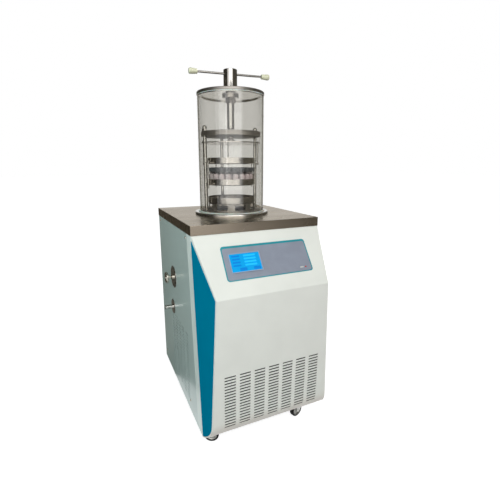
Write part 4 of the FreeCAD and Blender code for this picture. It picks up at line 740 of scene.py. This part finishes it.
def make_press_screw():
    """The press screw with its thread: one ridge that climbs 4 mm a turn, under a hexagonal end."""
    low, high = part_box("press_screw")
    pitch, crest, root = 4 * MM, 8 * MM, 6.9 * MM
    hexagon_tall, flats = 16 * MM, 17.9 * MM
    hexagon_foot = high.z - hexagon_tall
    step = pitch / 8
    count = round((hexagon_foot - low.z) / step)
    profile = [(0, low.z), (root, low.z)]
    profile += [(root, low.z + step * i) for i in range(1, count)]
    mesh = bmesh.new()
    rings = lathe(mesh, profile, axis, segments=32)
    for i, ring in enumerate(rings[1:]):
        for k, vertex in enumerate(ring):
            share = (i * step / pitch - k / len(ring)) % 1
            radius = root + (crest - root) * (1 - abs(2 * share - 1))
            flat = (vertex.co - axis) * Vector((1, 1, 0))
            reach = flat.normalized() * radius
            vertex.co = Vector((axis.x + reach.x, axis.y + reach.y, vertex.co.z))
    corner = flats / math.sqrt(3)
    end = [
        (0, hexagon_foot - step), (corner * 0.9, hexagon_foot), (corner, hexagon_foot + 1 * MM),
        (corner, high.z - 1.5 * MM), (corner * 0.88, high.z), (0, high.z),
    ]
    lathe(mesh, end, axis, segments=6)
    piece("press_screw_thread", mesh, lathe_steel, "press_screw", ["press_screw"])


# ------------------------------------------------------------------------------------------------
# Control panel
# ------------------------------------------------------------------------------------------------


def make_screen_fields():
    """A plain operating page: a column of labels beside its values, and two keys below them.

    Places and sizes are shares of the screen's width and height, from its middle."""
    low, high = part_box("touch_screen")
    wide = high.x - low.x
    tall = (high - low).dot(screen_up)
    lift = screen_out * 0.05 * MM
    thick, bar_corner, key_corner = 0.12 * MM, 1.2 * MM, 3 * MM
    first_row, row_pitch, bar_tall = 0.36, 0.17, 0.09
    key_rise, key_wide, key_tall = -0.36, 0.24, 0.16
    labels, values = bmesh.new(), bmesh.new()

    def field(mesh, side, rise, share_wide, share_tall, corner):
        spot = screen_centre + RIGHT * wide * side + screen_up * tall * rise + lift
        plate(mesh, spot, RIGHT, screen_up, wide * share_wide, tall * share_tall, thick, corner)

    for row in range(4):
        rise = first_row - row_pitch * row
        field(labels, -0.30, rise, 0.26, bar_tall, bar_corner)
        field(values, 0.16, rise, 0.40, bar_tall, bar_corner)
    for side in (-0.12, 0.34):
        field(labels, side, key_rise, key_wide, key_tall, key_corner)
    piece("screen_labels_and_keys", labels, display_dark, "cabinet")
    piece("screen_values", values, display_pale, "cabinet")


# ------------------------------------------------------------------------------------------------
# Cabinet hardware
# ------------------------------------------------------------------------------------------------


def make_screws(name, spots, out):
    """Pan-head screws, one mesh for those that face one way."""
    head = [(0, 0), (3.9, 0), (3.9, 0.8), (3.3, 1.8), (2.0, 2.3), (0, 2.45)]
    mesh = bmesh.new()
    for spot in spots:
        lathe(mesh, in_mm(head), spot, out, segments=20)
    piece(name, mesh, nickel_plate, "cabinet")


def make_cabinet_screws():
    """Four screws near the corners of each side panel, and three up each side of the rear panel."""
    front, back = axis.y - 171 * MM, left_high.y - 34 * MM
    high, low = left_high.z - 16 * MM, left_low.z + 41 * MM
    off_slant = 12 * MM  # the panel's front edge runs back towards the worktop
    spots = [(front, high), (back, high), (front + off_slant, low), (back, low)]
    left = [Vector((left_low.x, y, z)) for y, z in spots]
    right = [Vector((right_high.x, y, z)) for y, z in spots]
    make_screws("left_panel_screws", left, LEFT)
    make_screws("right_panel_screws", right, RIGHT)
    from_side, from_end = 12 * MM, 18 * MM
    sides = [rear_low.x + from_side, rear_high.x - from_side]
    rises = [rear_low.z + from_end, (rear_low.z + rear_high.z) / 2, rear_high.z - from_end]
    rear = [Vector((x, rear_high.y, z)) for x in sides for z in rises]
    make_screws("rear_panel_screws", rear, BACK)


def make_vent_knob():
    """The vent valve's hand knob: six shallow flutes round a dished face, on a short hub."""
    low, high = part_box("vent_knob")
    centre = Vector((high.x, (low.y + high.y) / 2, (low.z + high.z) / 2))
    depth = high.x - low.x
    rim = (high.z - low.z) / 2
    stem, hub, disc = 4 * MM, 8.8 * MM, 6 * MM
    flutes, flute_depth, fluted_from = 6, 0.05, 0.9
    profile = [
        (0, depth / 2), (stem, depth / 2), (stem, 0), (hub, 0), (hub, disc), (rim * 0.94, disc),
        (rim, disc + 1.2 * MM), (rim, depth - 3 * MM), (rim * 0.92, depth - 0.8 * MM),
        (rim * 0.75, depth - 0.8 * MM), (rim * 0.68, depth - 2 * MM), (rim * 0.34, depth - 2 * MM),
        (rim * 0.28, depth), (0, depth),
    ]

    def fluted(angle, radius):
        hollow = flute_depth * max(0, math.cos(flutes * angle))
        return 1 - hollow * (radius > rim * fluted_from)

    mesh = bmesh.new()
    lathe(mesh, profile, centre, LEFT, 96, fluted)
    body, slot = "vent_handwheel", "nickel_brass"
    piece("vent_hand_knob", mesh, nickel_plate, body, ["vent_knob"])


def make_inlet_blades():
    """Brass blades over the inlet's three pins."""
    low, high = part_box("power_inlet")
    middle = Vector(((low.x + high.x) / 2, high.y, (low.z + high.z) / 2))
    sunk, wide, tall, long, corner = 17.2 * MM, 2.3 * MM, 4.3 * MM, 12.5 * MM, 0.6 * MM
    mesh = bmesh.new()
    for side, rise in ((7, 2), (0, -2.5), (-7, 2)):
        foot = middle + Vector((side * MM, -sunk, rise * MM))
        plate(mesh, foot, LEFT, UP, wide, tall, long, corner)
    piece("inlet_blades", mesh, brass, "cabinet")


def make_filter_mat():
    """The condenser's dust filter: a foam mat that hangs close behind the grille's face."""
    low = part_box("front_fairing")[0]
    wide, thick, corner = 344 * MM, 6 * MM, 4 * MM
    foot, top = low.z + 39 * MM, low.z + 275 * MM
    behind_face = 21.5 * MM
    face_foot, face_tall = axis.y - 340.5 * MM, 469.5 * MM
    lean = (low.y - face_foot) / face_tall
    upward = Vector((0, lean, 1)).normalized()
    middle = Vector((axis.x, low.y + behind_face + lean * (foot - low.z), (foot + top) / 2))
    mesh = bmesh.new()
    plate(mesh, middle, RIGHT, upward, wide, top - foot, thick, corner)
    piece("filter_mat", mesh, foam, "cabinet")


def make_castor(tag):
    """A rubber tyre on a dished hub, with rivet heads on the ends of its axle."""
    roll = joints[f"roll_{tag}"]
    centre, out = Vector(roll["pos_m"]), Vector(roll["axis"]).normalized()
    low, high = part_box(f"castor_wheel_{tag}")
    outer, half = (high.z - low.z) / 2, 8.5 * MM
    seat, bore = outer - 7 * MM, 3.05 * MM
    fork_half = half + 3 * MM
    tyre = [
        (seat, half - 1 * MM), (outer - 3 * MM, half), (outer - 0.8 * MM, half - 1.6 * MM),
        (outer, half * 0.45), (outer - 0.5 * MM, half * 0.40),
    ]
    hub = [
        (bore, half), (7.5 * MM, half), (8.5 * MM, half - 2 * MM), (seat - 4 * MM, half - 3 * MM),
        (seat - 1.5 * MM, half - 1 * MM), (seat, half - 1 * MM),
    ]
    rivet = [(0, 0), (4.8, 0), (4.8, 0.6), (4.0, 1.4), (2.6, 1.75), (0, 1.85)]
    wheel = f"castor_wheel_{tag}"
    for name, profile, surface, slot, replaced in (
        (f"tyre_{tag}", tyre, tyre_rubber, "tyre_rubber", [wheel]),
        (f"hub_{tag}", hub, hub_steel, "zinc_steel", []),
    ):
        mesh = bmesh.new()
        mirrored = [(radius, -across) for radius, across in reversed(profile)]
        hollow_lathe(mesh, profile + mirrored, centre, out, 72)
        piece(name, mesh, surface, f"wheel_{tag}", replaced)
    mesh = bmesh.new()
    for way in (out, -out):
        lathe(mesh, in_mm(rivet), centre + way * fork_half, way, 24)
    piece(f"axle_rivets_{tag}", mesh, zinc_plate, f"castor_{tag}")


make_jar()
make_vials()
make_press_screw()
make_screen_fields()
make_cabinet_screws()
make_vent_knob()
make_inlet_blades()
make_filter_mat()
for tag in castors:
    make_castor(tag)


# ------------------------------------------------------------------------------------------------
# Studio
# ------------------------------------------------------------------------------------------------


def about(x, y, z):
    """A place in metres from the foot of the chamber's axis."""
    return axis + Vector((x, y, z))


def make_camera():
    """Stands in front, a little to the left, above the worktop and looks slightly down."""
    look_down, turned_right = 12.17, 24.785
    data = bpy.data.cameras.new("camera")
    data.sensor_width = 36
    data.lens = 25.19
    data.shift_y = -0.0188
    camera = show("camera", data)
    camera.location = about(-0.4865, -1.2176, 0.9048)
    camera.rotation_euler = (math.radians(90 - look_down), 0, math.radians(-turned_right))
    bpy.context.scene.camera = camera


def make_floor():
    """A pale floor that stays white to the eye and in reflections, and keeps a shadow."""
    made, tree, place = start("studio_floor")
    glow = add(tree, "Math", (seen_by_eye(tree), 0.9), operation="MULTIPLY")
    cloud = grain(tree, place, 400 * MM)
    shade = add(tree, "ValToRGB", (cloud,), stops=tones("A8A8A8", 0.01))
    matt = add(tree, "BsdfDiffuse", {"Color": shade})
    lift = add(tree, "Emission", {"Color": colour("FFFFFF"), "Strength": glow})
    finish(made, tree, add(tree, "AddShader", (matt, lift)))
    below_wheels = 0.5 * MM
    mesh = bmesh.new()
    bmesh.ops.create_grid(mesh, x_segments=2, y_segments=2, size=30)
    floor = show("floor", mesh_data("floor", mesh, made))
    floor.location = (0, 0, -below_wheels)


def make_world():
    """White to the eye, in reflections and through glass, and a plain fill for the rest."""
    world = bpy.data.worlds.new("studio")
    world.use_nodes = True
    tree = world.node_tree
    tree.nodes.clear()
    fill = 0.32
    strength = add(tree, "Math", (seen_by_eye(tree), 1 - fill, fill), operation="MULTIPLY_ADD")
    light = add(tree, "Background", {"Color": colour("FFFFFF"), "Strength": strength})
    add(tree, "OutputWorld", {"Surface": light})
    bpy.context.scene.world = world


def make_lamp(name, spot, aim, wide, tall, power, tint="FFFFFF"):
    """A soft box that points from one place at another."""
    data = bpy.data.lights.new(name, "AREA")
    data.shape = "RECTANGLE"
    data.size, data.size_y, data.energy = wide, tall, power
    data.color = colour(tint)[:3]
    lamp = show(name, data)
    lamp.location = spot
    lamp.rotation_mode = "QUATERNION"
    lamp.rotation_quaternion = (aim - spot).to_track_quat("-Z", "Y")
    return lamp


def dark_cloth(name, tone):
    """Matt cloth round the set. It shows in reflections alone, and not through clear walls."""
    made, tree, place = start(name)
    folds = grain(tree, place, 120 * MM, (1, 1, 8))
    shade = add(tree, "ValToRGB", (folds,), stops=tones(tone, 0.15))
    cloth = add(tree, "BsdfDiffuse", {"Color": shade})
    gone = add(tree, "BsdfTransparent")
    ray = add(tree, "LightPath").node.outputs
    straight = add(tree, "Math", (ray["Glossy Depth"], 0.5), operation="LESS_THAN")
    through_wall = ray["Is Transmission Ray"]
    unseen = add(tree, "Math", (straight, through_wall), operation="MULTIPLY")
    return finish(made, tree, add(tree, "MixShader", (unseen, cloth, gone)))


def stage_card(name, mesh, surface):
    """A cloth of the set, that the eye and shadows pass by."""
    card = show(name, mesh_data(name, mesh, surface))
    card.visible_camera = False
    card.visible_shadow = False


def make_drape(name, tone, first, last, reach, tall, hem=0):
    """A curtain on an arc about the chamber, between two angles from the X axis, in degrees.

    Bright metal takes its dark flanks from it, and the shaded side its depth. A hem is its run
    inwards over the floor."""
    steps = 24
    off_floor = 2 * MM
    angles = [math.radians(first + (last - first) * i / steps) for i in range(steps + 1)]
    lines = [(reach, off_floor), (reach, tall)]
    if hem:
        lines.insert(0, (reach - hem, off_floor))
    mesh = bmesh.new()
    rows = []
    for radius, height in lines:
        arc = [about(radius * math.cos(a), radius * math.sin(a), height) for a in angles]
        rows.append([mesh.verts.new(spot) for spot in arc])
    for near, far in zip(rows, rows[1:]):
        for i in range(steps):
            mesh.faces.new([near[i], near[i + 1], far[i + 1], far[i]])
    stage_card(name, mesh, dark_cloth(f"{name}_cloth", tone))


def make_canopy(tone, height, reach):
    """A round cloth over the set, so that upright faces and rods have no white edge from above."""
    mesh = bmesh.new()
    bmesh.ops.create_circle(mesh, cap_ends=True, segments=48, radius=reach)
    for vertex in mesh.verts:
        vertex.co += about(0, 0, height)
    stage_card("canopy", mesh, dark_cloth("canopy_cloth", tone))


make_camera()
make_floor()
make_world()

# Lamps: name, place, aim, width and height in metres, power in watts
make_lamp("window_low", about(-0.5, -2.2, 1.05), about(0, 0, 1.05), 2.3, 1.1, 9.5)
make_lamp("window_high", about(-0.5, -2.2, 2.25), about(0, 0, 1.3), 2.3, 1.1, 33)
make_lamp("top", about(0.1, -0.6, 2.6), about(0, 0, 0.7), 1.0, 1.0, 6)
glint = make_lamp("window_edge", about(-1.95, -1.75, 1.3), about(0, 0, 1.3), 1.3, 1.5, 6.5)
glint.visible_diffuse = False
fills = (
    make_lamp("side_fill", about(-2.4, -0.9, 1.6), about(0, 0, 0.45), 1.2, 1.2, 23, "D0EEEA"),
    make_lamp("back_fill", about(1.8, 2.2, 1.7), about(0, 0, 0.6), 1.6, 1.2, 38),
)
for lamp in fills:  # light for matt faces alone
    lamp.visible_camera = lamp.visible_glossy = lamp.visible_transmission = False

# Drapes: name, tone, first and last angle in degrees, reach, height and hem in metres
make_drape("left_drape", "6A665F", 126, 198, 1.15, 2.4, hem=0.85)
make_drape("left_back_drape", "8C877E", 96, 126, 1.15, 2.4, hem=0.85)
make_drape("right_drape", "9A948A", -70, 12, 2.6, 2.6)
make_drape("right_back_drape", "B8B2A8", 12, 48, 2.6, 2.6)
make_canopy("86827B", 2.9, 2.6)

bpy.context.scene.view_settings.view_transform = "Standard"
